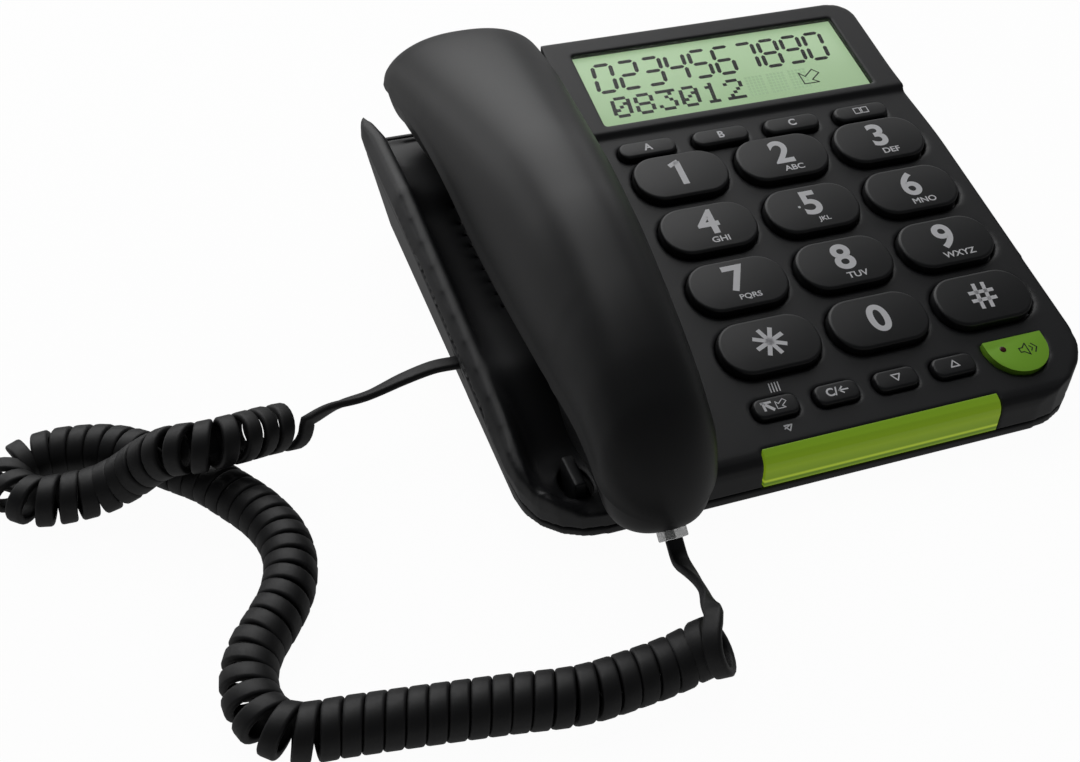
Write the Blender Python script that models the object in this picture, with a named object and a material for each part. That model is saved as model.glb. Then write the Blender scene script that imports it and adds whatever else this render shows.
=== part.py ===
"""Corded desk telephone with large keys: base, handset, keys, inner pieces and curly cord.

Metres, +Z up. The origin is on the table under the middle of the telephone, +Y runs to its back and
+X to its right. The keys lie in a tilted frame on the face: X, then S up the slope, then N out of it.
"""
import math

import bmesh
import bpy
import numpy as np
from mathutils import Matrix, Vector

# Fits
gap = 0.0003
key_clearance = 0.0003
overrun = 0.004
merge_distance = 0.00001
wall = 0.0025

# Base, as distances from the origin
base_left = 0.0895
base_right = 0.0983
base_front = 0.0865
base_rear = 0.1045
underside = 0.0021
block_top = 0.0900
left_lean_share = 0.21
right_lean_share = 0.025
rear_lean_share = 0.14
front_corner = 0.0220
rear_corner = 0.0090
corner_steps = 5

# Face, tilted about the middle of the dial keys
face_tilt = math.radians(15.5)
keypad_x = 0.0375
keypad_y = -0.01375
keypad_z = 0.0365
face_left_front = -0.0365
face_left_rear = -0.0272
front_fold = 0.0050
fold_steps = 3
panel_step_s = 0.0622
panel_step_run = 0.0018
panel_rise = 0.0016

# Line where the two housings meet, seen from the side: higher beside the cradle, where it stays under the rim
seam_cradle_height = 0.0392
seam_cradle_bend_y = 0.0158
seam_cradle_knee = (0.338, 0.497)
seam_keypad_height = 0.0190
seam_keypad_bend_y = -0.0560
seam_front_height = 0.0056
seam_toe_y = -0.0760
seam_change_x = -0.0310
seam_keypad_knee = (0.30, 0.15)

# Cradle
rim_height = 0.0515
rim_front_height = 0.0165
rim_bend_y = 0.0050
rim_toe_y = -0.0790
rim_width = 0.0045
rim_sag_share = 0.42
trough_corner = 0.0160
shelf_height = 0.0377
shelf_front_share = 0.2207
channel_height = 0.0300
channel_rear_share = 0.2672
channel_front_share = 0.6629
cup_floor_height = 0.0115
cup_rear_share = 0.7793
cradle_rear_height = 0.0386
cradle_wall = 0.0020
horn_width = 0.0034
horn_foot = 0.0006
front_notch_slope = 0.0100

# Small holes of the loudspeaker in the trough
sound_hole = 0.0018
sound_pitch = 0.0074
sound_rows = 10
sound_columns = 3
sound_x = -0.0745
sound_y = -0.0050

# Keys
key_column_pitch = 0.0385
key_row_pitch = 0.0250
key_block_s = 0.0006
dial_key_width = 0.0340
dial_key_depth = 0.0200
dial_key_corner = 0.0092
dial_key_height = 0.0030
memory_key_pitch = 0.0280
memory_key_x = -0.0451
memory_key_s = 0.0534
memory_key_width = 0.0212
memory_key_depth = 0.0074
memory_key_corner = 0.0034
memory_key_height = 0.0024
function_key_pitch = 0.0206
function_key_x = -0.0458
function_key_s = -0.0586
function_key_width = 0.0148
function_key_depth = 0.0072
function_key_corner = 0.0028
function_key_height = 0.0018
speaker_key_x = 0.0398
speaker_key_s = -0.0602
speaker_key_width = 0.0215
speaker_key_depth = 0.0136
speaker_key_height = 0.0016
speaker_key_corner = 0.0016
speaker_key_near_corner = 0.0105
key_edge = 0.0007
key_flange = 0.0006
key_flange_thickness = 0.0012
key_travel = 0.0015

# Contact mat and board under the keys
mat_left = -0.0564
mat_right = 0.0568
mat_front_s = -0.0700
mat_rear_s = 0.0585
mat_corner = 0.0200
mat_thickness = 0.0012
board_thickness = 0.0016
board_post_radius = 0.0030

# Display
display_left = -0.0558
display_width = 0.1073
display_front_s = 0.0673
display_depth = 0.0383
window_margin = 0.0020
window_thickness = 0.0015
pane_thickness = 0.0010
pane_wall = 0.0010
module_margin = 0.0010
module_thickness = 0.0045

# Light bar over the front edge
bar_left = -0.0185
bar_width = 0.0810
bar_face_y = -0.0822
bar_low_height = 0.0058
bar_lip = 0.0016

# Loudspeaker of the base
speaker_radius = 0.0200
speaker_depth = 0.0100
speaker_x = -0.0620
speaker_y = 0.0270
speaker_frame = 0.0030
speaker_magnet_radius = 0.0100

# Hook plunger and switch
hook_x = -0.0735
hook_y = -0.0715
hook_width = 0.0040
hook_length = 0.0130
hook_top_height = 0.0165
hook_plate_margin = 0.0020
hook_plate_thickness = 0.0012
hook_plate_height = 0.0050
hook_switch_width = 0.0080
hook_switch_length = 0.0100
hook_switch_height = 0.0036

# Cord openings
base_socket_y = -0.0195
base_socket_height = 0.0220
base_socket_width = 0.0110
base_socket_depth = 0.0130
base_socket_tall = 0.0092
plug_width = 0.0076
plug_tall = 0.0058
plug_length = 0.0120
plug_clearance = 0.0003
base_plug_stand_out = 0.0022
handset_plug_stand_out = 0.0062
line_socket_x = 0.0420
line_socket_height = 0.0130
line_socket_width = 0.0150
line_socket_depth = 0.0140
line_socket_tall = 0.0130
line_plug_width = 0.0098
line_plug_tall = 0.0068

# Battery bay and cover
battery_count = 3
battery_radius = 0.00525
battery_length = 0.0445
battery_pitch = 0.0112
battery_x = 0.0100
battery_y = 0.0450
battery_wall_share = 0.70
bay_margin = 0.0020
bay_wall = 0.0015

# Feet and screws
foot_radius = 0.0065
foot_height = 0.0021
foot_recess = 0.0008
foot_inset_x = 0.0150
foot_inset_y = 0.0140
screw_radius = 0.0014
screw_head_radius = 0.0027
screw_head_height = 0.0016
screw_boss_radius = 0.0034
screw_boss_low = 0.0160
screw_bite = 0.0060
screw_rear_left_x = -0.0800
screw_rear_left_y = 0.0680
screw_rear_right_x = 0.0650
screw_rear_right_y = 0.0952
screw_front_left_x = -0.0815
screw_front_left_y = 0.0050
screw_front_middle_x = -0.0262
screw_front_middle_y = -0.0600
post_x_shares = [0.16, 0.80]
post_y_shares = [0.18, 0.86]
module_post_share = 0.60
round_steps = 12

# Handset, seen from the side: heights and half widths along its length from rear to front
handset_x = -0.0575
handset_rear = 0.1074
handset_length = 0.2148
handset_crown = 0.0892
handset_half_width = 0.0285
handset_wall = 0.0022
top_shares = [
    (0.0, 0.745), (0.02, 0.818), (0.048, 0.877), (0.1045, 0.930), (0.2175, 0.966), (0.359, 0.989),
    (0.500, 1.0), (0.641, 0.9585), (0.7825, 0.852), (0.877, 0.749), (0.933, 0.650), (1.0, 0.493)]
seam_shares = [
    (0.0, 0.6111), (0.02, 0.5264), (0.048, 0.529), (0.065, 0.5324), (0.1045, 0.5138), (0.16, 0.4996),
    (0.1985, 0.4921), (0.2175, 0.4695), (0.246, 0.4048), (0.28, 0.3366), (0.312, 0.2815),
    (0.359, 0.2378), (0.41, 0.1952), (0.453, 0.1577), (0.5, 0.1391), (0.5706, 0.1523), (0.641, 0.1696),
    (0.688, 0.1986), (0.72, 0.2381), (0.759, 0.3105), (0.7825, 0.3954), (0.8107, 0.4651),
    (0.84, 0.4736), (0.877, 0.4835), (0.905, 0.4716), (0.933, 0.4471), (0.965, 0.4291), (1.0, 0.4059)]
bottom_shares = [
    (0.0, 1.2441), (0.03, 1.122), (0.065, 1.0094), (0.1985, 1.0012), (0.246, 1.1573), (0.312, 1.2629),
    (0.453, 1.1972), (0.5706, 1.0516), (0.688, 0.8943), (0.759, 0.6807), (0.8107, 0.3157), (1.0, 0.3157)]
width_shares = [
    (0.0, 0.985), (0.048, 1.020), (0.1045, 0.998), (0.2175, 0.942), (0.359, 0.874), (0.500, 0.8175),
    (0.641, 0.751), (0.7825, 0.677), (0.877, 0.625), (0.933, 0.611), (1.0, 0.611)]
ear_end_share = 0.060
ear_corner_share = 0.034
mouth_end_share = 0.072
section_power = 2.8
section_points = 16
hollow_shares = [0.02, 0.985]
hollow_step = 0.0275
seam_line_shares = [
    -0.02, 0.048, 0.1045, 0.2175, 0.25, 0.359, 0.39, 0.50, 0.51, 0.641, 0.65, 0.7825, 0.877, 0.933, 1.02]
station_shares = [
    0.0008, 0.006, 0.017, 0.034, 0.060, 0.10, 0.15, 0.20, 0.246, 0.312, 0.41, 0.52, 0.62, 0.70,
    0.759, 0.811, 0.86, 0.90, 0.935, 0.962, 0.982, 0.9935, 0.9992]

# Pieces inside the handset
receiver_radius = 0.0138
receiver_depth = 0.0080
receiver_share = 0.122
receiver_lift = 0.0032
microphone_radius = 0.0048
microphone_depth = 0.0060
microphone_share = 0.860
microphone_lift = 0.0020
capsule_seat = 0.0020
weight_width = 0.0140
weight_length = 0.0560
weight_tall = 0.0070
weight_share = 0.45
weight_height = 0.0580
weight_rib = 0.0020
weight_rib_share = 0.32
handset_hole = 0.0020
ear_hole_ring = 0.0062
ear_holes = 6
handset_socket_offset = 0.0030
handset_socket_setback = 0.0104
handset_socket_z = 0.0151
handset_socket_tilt = math.radians(38.0)
handset_socket_wall = 0.0014
handset_socket_length = 0.0130

# Cord: flat in section, curled between two straight tails
ribbon_width = 0.0052
ribbon_thickness = 0.0022
coil_radius = 0.0075
curl_gap = 0.0009
curl_points = 10
head_points = 8
end_spread = 0.0016
end_curls = 1.1
straight_run = 0.0026
route_step = 0.0008
coil_route = [
    (-0.1475, -0.0245, 0.0150), (-0.1560, -0.0290, 0.0190), (-0.1650, -0.0345, 0.0232),
    (-0.1740, -0.0365, 0.0246), (-0.1830, -0.0335, 0.0228), (-0.1900, -0.0300, 0.0180),
    (-0.1975, -0.0272, 0.0115), (-0.2060, -0.0265, 0.0079), (-0.2155, -0.0268, 0.0077),
    (-0.2245, -0.0255, 0.0077), (-0.2312, -0.0200, 0.0077), (-0.2328, -0.0120, 0.0077),
    (-0.2275, -0.0065, 0.0077), (-0.2190, -0.0052, 0.0077), (-0.2110, -0.0062, 0.0077),
    (-0.2035, -0.0082, 0.0077), (-0.1965, -0.0120, 0.0077), (-0.1900, -0.0175, 0.0077),
    (-0.1835, -0.0240, 0.0077), (-0.1755, -0.0320, 0.0077), (-0.1690, -0.0410, 0.0077),
    (-0.1630, -0.0505, 0.0077), (-0.1590, -0.0600, 0.0077), (-0.1575, -0.0690, 0.0077),
    (-0.1585, -0.0780, 0.0077), (-0.1615, -0.0860, 0.0077), (-0.1660, -0.0930, 0.0077),
    (-0.1710, -0.1000, 0.0077), (-0.1742, -0.1080, 0.0077), (-0.1745, -0.1165, 0.0077),
    (-0.1712, -0.1245, 0.0077), (-0.1645, -0.1290, 0.0077), (-0.1530, -0.1308, 0.0077),
    (-0.1360, -0.1335, 0.0077), (-0.1150, -0.1370, 0.0077), (-0.0960, -0.1403, 0.0077),
    (-0.0790, -0.1398, 0.0077), (-0.0700, -0.1392, 0.0082), (-0.0640, -0.1390, 0.0098),
    (-0.0598, -0.1400, 0.0122), (-0.0552, -0.1425, 0.0150)]
tail_base_route = [
    (-0.1020, -0.0197, 0.0222), (-0.1120, -0.0215, 0.0215), (-0.1235, -0.0245, 0.0205),
    (-0.1345, -0.0262, 0.0205)]
tail_handset_route = [
    (-0.0549, -0.1110, 0.0092), (-0.0562, -0.1170, 0.0134), (-0.0580, -0.1245, 0.0184)]
tail_spacing = 0.0030


# Tools for shapes

def clear_scene():
    for item in list(bpy.data.objects):
        bpy.data.objects.remove(item)


def make_material(name, colour, roughness, metallic=0.0, alpha=1.0):
    material = bpy.data.materials.new(name)
    material.use_nodes = True
    shader = material.node_tree.nodes["Principled BSDF"]
    shader.inputs["Base Color"].default_value = (*colour, 1.0)
    shader.inputs["Roughness"].default_value = roughness
    shader.inputs["Metallic"].default_value = metallic
    shader.inputs["Alpha"].default_value = alpha
    return material


def add_mesh(name, builder, material=None, parent=None):
    """Closes a bmesh into an object, with its faces turned outwards."""
    bmesh.ops.recalc_face_normals(builder, faces=builder.faces)
    mesh = bpy.data.meshes.new(name)
    builder.to_mesh(mesh)
    builder.free()
    item = bpy.data.objects.new(name, mesh)
    bpy.context.collection.objects.link(item)
    if material:
        mesh.materials.append(material)
    item.parent = parent
    return item


def add_loft(name, rings, material=None, parent=None):
    """Skins rings of equal length, in order, and closes both ends."""
    builder = bmesh.new()
    loops = [[builder.verts.new(point) for point in ring] for ring in rings]
    for low, high in zip(loops, loops[1:]):
        for index in range(len(low)):
            after = (index + 1) % len(low)
            builder.faces.new((low[index], low[after], high[after], high[index]))
    builder.faces.new(loops[0])
    builder.faces.new(loops[-1])
    return add_mesh(name, builder, material, parent)


def add_side_prism(name, outline, left, right):
    """Extrudes a side outline of (y, z) points from left to right."""
    rings = [[(x, y, z) for y, z in outline] for x in (left, right)]
    return add_loft(name, rings)


def add_box(name, low, high, material=None, parent=None):
    rings = [
        [(low[0], low[1], z), (high[0], low[1], z), (high[0], high[1], z), (low[0], high[1], z)]
        for z in (low[2], high[2])]
    return add_loft(name, rings, material, parent)


def circle(centre_x, centre_y, radius, height, steps=round_steps):
    turns = [2 * math.pi * step / steps for step in range(steps)]
    return [(centre_x + radius * math.cos(a), centre_y + radius * math.sin(a), height) for a in turns]


def add_turned(name, x, y, profile, material=None, parent=None, steps=round_steps):
    """Stacks circles of (radius, height) from low to high."""
    rings = [circle(x, y, radius, height, steps) for radius, height in profile]
    return add_loft(name, rings, material, parent)


def rounded_outline(left, right, front, rear, radii, steps=corner_steps):
    """Rounded rectangle, from the front left corner round; radii follow the same order."""
    centres = [
        (left + radii[0], front + radii[0]), (right - radii[1], front + radii[1]),
        (right - radii[2], rear - radii[2]), (left + radii[3], rear - radii[3])]
    points = []
    for corner, (centre_x, centre_y) in enumerate(centres):
        for step in range(steps + 1):
            angle = math.pi + math.pi / 2 * (corner + step / steps)
            points.append((
                centre_x + radii[corner] * math.cos(angle), centre_y + radii[corner] * math.sin(angle)))
    return points


def clean(mesh):
    """Merges coincident points and drops slivers that a Boolean can leave."""
    builder = bmesh.new()
    builder.from_mesh(mesh)
    bmesh.ops.remove_doubles(builder, verts=builder.verts, dist=merge_distance)
    bmesh.ops.dissolve_degenerate(builder, edges=builder.edges, dist=merge_distance)
    builder.to_mesh(mesh)
    builder.free()


def combine(target, tool, operation):
    """Applies one Boolean to target and removes the tool."""
    bpy.context.view_layer.update()
    modifier = target.modifiers.new(operation, "BOOLEAN")
    modifier.operation = operation
    modifier.object = tool
    graph = bpy.context.evaluated_depsgraph_get()
    result = bpy.data.meshes.new_from_object(target.evaluated_get(graph))
    target.modifiers.clear()
    target.data = result
    clean(result)
    bpy.data.objects.remove(tool)
    return target


def cut(target, tool):
    return combine(target, tool, "DIFFERENCE")


def keep(target, tool):
    return combine(target, tool, "INTERSECT")


def join(target, tool):
    return combine(target, tool, "UNION")


def shade(item, material, angle=math.radians(35.0)):
    item.data.materials.clear()
    item.data.materials.append(material)
    item.data.shade_smooth()
    item.data.set_sharp_from_angle(angle=angle)
    return item


def interpolate(table, share):
    """Smooth value of a table of (share, value) that never overshoots its points."""
    places = [row[0] for row in table]
    values = [row[1] for row in table]
    slopes = [(b - a) / (q - p) for p, q, a, b in zip(places, places[1:], values, values[1:])]
    tangents = [slopes[0]]
    for before, after in zip(slopes, slopes[1:]):
        tangents.append(0.0 if before * after <= 0 else 2 * before * after / (before + after))
    tangents.append(slopes[-1])
    index = max(0, min(len(slopes) - 1, sum(share >= place for place in places) - 1))
    span = places[index + 1] - places[index]
    t = (share - places[index]) / span
    start = (2 * t + 1) * (1 - t) ** 2 * values[index] + t * (1 - t) ** 2 * span * tangents[index]
    end = t * t * (3 - 2 * t) * values[index + 1] - t * t * (1 - t) * span * tangents[index + 1]
    return start + end


# Surfaces of the base

def face_height(y):
    return keypad_z + math.tan(face_tilt) * (y - keypad_y)


def face_place(s, n):
    """Side view of a point of the face's frame."""
    c, t = math.cos(face_tilt), math.sin(face_tilt)
    return keypad_y + s * c - n * t, keypad_z + s * t + n * c


def base_edges(height, inset):
    rise = height - underside
    left = -(base_left + left_lean_share * rise) + inset
    right = base_right + right_lean_share * rise - inset
    rear = base_rear - rear_lean_share * rise - inset
    return left, right, -base_front + inset, rear


def add_base_block(name, inset, low, high):
    """Block with the leaning walls of the base, moved in by the inset."""
    front = max(front_corner - inset, wall)
    rear = max(rear_corner - inset, wall)
    rings = []
    for height in (low, high):
        outline = rounded_outline(*base_edges(height, inset), (front, front, rear, rear))
        rings.append([(x, y, height) for x, y in outline])
    return add_loft(name, rings)


def front_arc(line_height, slope, inset, radius):
    """Rounds the corner between the upright front and a sloping line above it."""
    centre_y = -base_front + inset + radius
    centre_z = line_height(centre_y) - (inset + radius) / math.cos(slope)
    angles = [math.pi - (math.pi / 2 - slope) * step / fold_steps for step in range(fold_steps + 1)]
    return [(centre_y + radius * math.cos(a), centre_z + radius * math.sin(a)) for a in angles]


def face_line(inset):
    """Side view of the face from the front wall to behind the base."""
    radius = max(front_fold - inset, wall / 2)
    points = front_arc(face_height, face_tilt, inset, radius)
    points.append(face_place(panel_step_s, -inset))
    points.append(face_place(panel_step_s + panel_step_run, panel_rise - inset))
    rear = base_rear + overrun
    points.append((rear, face_height(rear) + (panel_rise - inset) / math.cos(face_tilt)))
    return points


def rim_line():
    """Side view of the cradle's rim: level at the rear, then down to the front."""
    drop = rim_height - rim_front_height
    run = rim_bend_y - rim_toe_y
    middle = (rim_bend_y - run / 2, rim_height - drop * rim_sag_share)
    toe = front_arc(lambda y: rim_front_height, 0.0, 0.0, front_fold)
    rear = base_rear + overrun
    return toe + [(rim_toe_y, rim_front_height), middle, (rim_bend_y, rim_height), (rear, rim_height)]


def trough_line(drop):
    """Side view of the trough's floor, lowered by the drop."""
    rear = base_rear + overrun
    return [
        (-base_front - overrun, cup_floor_height - drop),
        (handset_y(cup_rear_share), cup_floor_height - drop),
        (handset_y(channel_front_share), channel_height - drop),
        (handset_y(channel_rear_share), channel_height - drop),
        (handset_y(shelf_front_share), shelf_height - drop), (rear, shelf_height - drop)]


def seam_line(height, bend_y, knee, drop):
    """Side view of the line between the housings, lowered by the drop."""
    rear = base_rear + overrun
    knee_y = seam_toe_y + (bend_y - seam_toe_y) * knee[0]
    knee_height = seam_front_height + (height - seam_front_height) * knee[1]
    return [
        (-base_front - overrun, seam_front_height - drop), (seam_toe_y, seam_front_height - drop),
        (knee_y, knee_height - drop), (bend_y, height - drop), (rear, height - drop)]


def add_seam_side(close, change_x, drop):
    """Everything on one side of the line between the housings, over the whole width."""
    cradle = seam_line(seam_cradle_height, seam_cradle_bend_y, seam_cradle_knee, drop)
    keypad = seam_line(seam_keypad_height, seam_keypad_bend_y, seam_keypad_knee, drop)
    left = add_side_prism("seam_left", close(cradle), far_left, change_x)
    return left, add_side_prism("seam_right", close(keypad), change_x, far_right)


def close_above(line):
    front = -base_front - overrun
    start = [(front, line[0][1])] if line[0][0] > front else []
    return start + line + [(line[-1][0], block_top + overrun), (front, block_top + overrun)]


def close_below(line):
    front = -base_front - overrun
    start = [(front, line[0][1])] if line[0][0] > front else []
    return start + line + [(line[-1][0], -overrun), (front, -overrun)]


def cradle_wall_x(y):
    """Trough's right wall, which follows the handset."""
    share = (y + base_front) / (base_front + base_rear)
    return face_left_front + (face_left_rear - face_left_front) * share


def add_wall_side(name, offset, left):
    """Everything on one side of the trough's right wall, moved right by the offset."""
    front = -base_front - overrun
    rear = base_rear + overrun
    side = far_left if left else far_right
    outline = [
        (side, front), (cradle_wall_x(front) + offset, front), (cradle_wall_x(rear) + offset, rear),
        (side, rear)]
    return add_loft(name, [[(x, y, z) for x, y in outline] for z in (-2 * overrun, 2 * block_top)])


far_left = -(base_left + block_top)
far_right = base_right + overrun + block_top * right_lean_share


# Tilted frame of the face

def add_face_frame():
    frame = bpy.data.objects.new("face_frame", None)
    frame.location = (keypad_x, keypad_y, keypad_z)
    frame.rotation_euler = (face_tilt, 0, 0)
    bpy.context.collection.objects.link(frame)
    return frame


def key_layout():
    """Every key as (name, kind, x, s) in the face's frame."""
    names = ["1", "2", "3", "4", "5", "6", "7", "8", "9", "star", "0", "hash"]
    layout = []
    for index, name in enumerate(names):
        row, column = divmod(index, 3)
        layout.append((
            "dial_key_" + name, "dial", (column - 1) * key_column_pitch, key_block_s + (1.5 - row) * key_row_pitch))
    for index, name in enumerate(["memory_key_a", "memory_key_b", "memory_key_c", "phonebook_key"]):
        layout.append((name, "memory", memory_key_x + index * memory_key_pitch, memory_key_s))
    for index, name in enumerate(["redial_key", "clear_key", "down_key", "up_key"]):
        layout.append((name, "function", function_key_x + index * function_key_pitch, function_key_s))
    layout.append(("speaker_key", "speaker", speaker_key_x, speaker_key_s))
    return layout


def key_outline(kind, x, s, margin):
    """Outline of a key's body, grown by the margin."""
    sizes = {
        "dial": (dial_key_width, dial_key_depth, dial_key_corner, dial_key_corner),
        "memory": (memory_key_width, memory_key_depth, memory_key_corner, memory_key_corner),
        "function": (function_key_width, function_key_depth, function_key_corner, function_key_corner),
        "speaker": (speaker_key_width, speaker_key_depth, speaker_key_near_corner, speaker_key_corner)}
    width, depth, near, far = sizes[kind]
    near = near + margin
    far = far + margin
    steps = 4 if kind == "dial" else 3
    return rounded_outline(
        x - width / 2 - margin, x + width / 2 + margin, s - depth / 2 - margin, s + depth / 2 + margin,
        (near, near, far, far), steps)


def key_heights():
    return {
        "dial": dial_key_height, "memory": memory_key_height, "function": function_key_height,
        "speaker": speaker_key_height}


flange_top = -wall - gap
flange_low = flange_top - key_flange_thickness
mat_top = flange_low - key_travel - gap
mat_low = mat_top - mat_thickness
board_top = mat_low - gap
board_low = board_top - board_thickness
window_top = panel_rise - wall - gap
window_low = window_top - window_thickness
module_top = window_low - gap
module_low = module_top - module_thickness


def add_plate(name, outline, low, high, material=None, parent=None):
    return add_loft(name, [[(x, s, n) for x, s in outline] for n in (low, high)], material, parent)


def make_keys(frame, dark, green):
    for name, kind, x, s in key_layout():
        top = key_heights()[kind]
        levels = [
            (key_flange, flange_low), (key_flange, flange_top), (0.0, flange_top),
            (0.0, top - key_edge), (-key_edge, top)]
        rings = [[(px - x, py - s, n) for px, py in key_outline(kind, x, s, margin)]
                 for margin, n in levels]
        key = add_loft(name, rings, None, frame)
        key.location = (x, s, 0)
        shade(key, green if kind == "speaker" else dark)


def make_key_layers(frame, silicone, board):
    """Contact mat and circuit board, stacked under the keys."""
    radii = (wall, mat_corner, wall, wall)
    outline = rounded_outline(mat_left, mat_right, mat_front_s, mat_rear_s, radii, 3)
    add_plate("key_mat", outline, mat_low, mat_top, silicone, frame)
    add_plate("circuit_board", outline, board_low, board_top, board, frame)


def display_outline(margin):
    """Outline of the display's opening, grown by the margin."""
    return rounded_outline(
        display_left - margin, display_left + display_width + margin, display_front_s - margin,
        display_front_s + display_depth + margin, (key_edge,) * 4, 1)


def make_display(frame, clear, panel):
    """Window with a pane that rises flush into the opening, and the module whose cell stands in it."""
    pane_top = panel_rise - gap
    pane_low = pane_top - pane_thickness
    window = add_plate("display_window", display_outline(window_margin), window_low, window_top, None, frame)
    join(window, add_plate("pane", display_outline(-gap), window_low, pane_top, None, frame))
    inside = -gap - pane_wall
    cut(window, add_plate("cell_space", display_outline(inside), window_low - overrun, pane_low, None, frame))
    shade(window, clear)
    module = add_plate(
        "display_module", display_outline(window_margin - module_margin), module_low, module_top, None, frame)
    join(module, add_plate(
        "cell", display_outline(inside - gap), module_low, pane_low - gap, None, frame))
    shade(module, panel)


# Light bar

def bar_section(inset):
    """Side view of the bar's outer line, from the face round the fold and down the front."""
    line = face_line(inset)[:fold_steps + 1]
    top = (bar_face_y, face_height(bar_face_y) - inset / math.cos(face_tilt))
    foot = (-base_front + inset, bar_low_height)
    return [foot] + line + [top]


def add_bar_solid(name, outer, inner, left, right, material=None):
    outline = bar_section(outer) + bar_section(inner)[::-1]
    rings = [[(x, y, z) for y, z in outline] for x in (left, right)]
    return add_loft(name, rings, material)


def make_light_bar(green):
    depth = wall + gap + bar_lip
    bar = add_bar_solid("ring_light_bar", 0.0, depth, bar_left, bar_left + bar_width)
    lip = add_bar_solid(
        "bar_lip", wall + gap, depth, bar_left - bar_lip, bar_left + bar_width + bar_lip)
    join(bar, lip)
    shade(bar, green)


# Housings

def screw_places():
    """Names and places of the screws that hold the housings together."""
    return [
        ("base_screw_rear_left", screw_rear_left_x, screw_rear_left_y),
        ("base_screw_rear_right", screw_rear_right_x, screw_rear_right_y),
        ("base_screw_front_left", screw_front_left_x, screw_front_left_y),
        ("base_screw_front_middle", screw_front_middle_x, screw_front_middle_y)]


def ceiling_height(x, y):
    """Underside of the upper housing over a place."""
    if x > cradle_wall_x(y):
        return face_height(y) - wall / math.cos(face_tilt)
    line = [(place, height) for place, height in trough_line(wall)]
    for (y0, z0), (y1, z1) in zip(line, line[1:]):
        if y0 <= y <= y1:
            return z0 + (z1 - z0) * (y - y0) / (y1 - y0)
    return line[-1][1]


def add_trough():
    """Space of the cradle's trough, over its floor."""
    rings = []
    for height in (underside, block_top):
        left, _, front, rear = base_edges(height, rim_width)
        outline = rounded_outline(left, 0.0, front, rear, (trough_corner, wall, wall, cradle_wall))
        rings.append([(x, y, height) for x, y in outline])
    trough = add_loft("trough", rings)
    keep(trough, add_wall_side("trough_side", 0.0, True))
    return keep(trough, add_side_prism("over_floor", close_above(trough_line(0.0)), far_left, far_right))


def add_cavities():
    """Hollow of the upper housing: behind the face and under the trough."""
    behind = add_base_block("behind_face", wall, -overrun, block_top)
    keep(behind, add_side_prism("under_face", close_below(face_line(wall)), far_left, far_right))
    keep(behind, add_wall_side("face_side", wall, False))
    under = add_base_block("under_trough", wall, -overrun, block_top)
    keep(under, add_side_prism("under_floor", close_below(trough_line(wall)), far_left, far_right))
    keep(under, add_wall_side("floor_side", wall + overrun, True))
    return behind, under


def make_upper_housing(frame, plastic):
    housing = add_base_block("upper_housing", 0.0, underside, block_top)
    cut(housing, add_side_prism("over_face", close_above(face_line(0.0)), far_left, far_right))
    over_rim = add_side_prism("over_rim", close_above(rim_line()), far_left, far_right)
    cut(housing, keep(over_rim, add_wall_side("rim_side", 0.0, True)))
    cut(housing, add_trough())
    for cavity in add_cavities():
        cut(housing, cavity)
    for ring in add_seam_side(close_below, seam_change_x, 0.0):
        cut(ring, add_base_block("ring_inside", wall + gap, -2 * overrun, block_top))
        cut(housing, ring)
    clear_handset_ends(housing)
    for _, x, y in screw_places():
        top = ceiling_height(x, y) + wall / 2
        join(housing, add_turned("boss", x, y, [(screw_boss_radius, screw_boss_low),
                                                (screw_boss_radius, top)]))
        cut(housing, add_turned("boss_bore", x, y, [
            (screw_radius + gap, screw_boss_low - overrun),
            (screw_radius + gap, screw_boss_low + screw_bite + gap)]))
    for name, kind, x, s in key_layout():
        outline = key_outline(kind, x, s, key_clearance)
        cut(housing, add_plate("key_hole", outline, -wall - overrun / 2, overrun, None, frame))
    cut(housing, add_plate(
        "display_hole", display_outline(0.0), -wall - overrun / 2, overrun, None, frame))
    cut(housing, add_bar_solid(
        "bar_hole", -overrun, wall + overrun / 2, bar_left - gap, bar_left + bar_width + gap))
    for column in range(sound_columns):
        for row in range(sound_rows):
            x = sound_x + column * sound_pitch
            y = sound_y + row * sound_pitch
            cut(housing, add_box(
                "sound_hole", (x - sound_hole / 2, y - sound_hole / 2, channel_height - wall - overrun / 2),
                (x + sound_hole / 2, y + sound_hole / 2, channel_height + overrun)))
    half_width = hook_width / 2 + key_clearance
    half_length = hook_length / 2 + key_clearance
    cut(housing, add_box(
        "hook_hole", (hook_x - half_width, hook_y - half_length, cup_floor_height - wall - overrun / 4),
        (hook_x + half_width, hook_y + half_length, cup_floor_height + overrun)))
    shade(housing, plastic)


def add_notch(name, low, high, foot_x, top_x, side_height):
    """Opening between two depths whose left side slopes, over its foot, up to the side's height."""
    rise = block_top - low[1]
    far_x = foot_x + (top_x - foot_x) * rise / (side_height - low[1])
    outline = [(foot_x, low[1]), (0.0, low[1]), (0.0, low[1] + rise), (far_x, low[1] + rise)]
    rings = [[(x, y, z) for x, z in outline] for y in (low[0], high)]
    return keep(add_loft(name, rings), add_wall_side("notch_side", 0.0, True))


def clear_handset_ends(housing):
    """Lowers the cradle's front and rear walls where the handset hangs over them."""
    left, _, front, rear = base_edges(cradle_rear_height, rim_width)
    outer_left = base_edges(rim_height, 0.0)[0]
    cut(housing, add_notch(
        "rear_notch", (rear - overrun, cradle_rear_height), base_rear + overrun, left + horn_foot,
        outer_left + horn_width, rim_height))
    half = handset_half_width * interpolate(width_shares, 1.0) + rim_width
    foot = handset_x - half + front_notch_slope / 2
    cut(housing, add_notch(
        "front_notch", (-base_front - overrun, cup_floor_height), front + overrun, foot,
        foot - front_notch_slope, rim_front_height))


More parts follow.
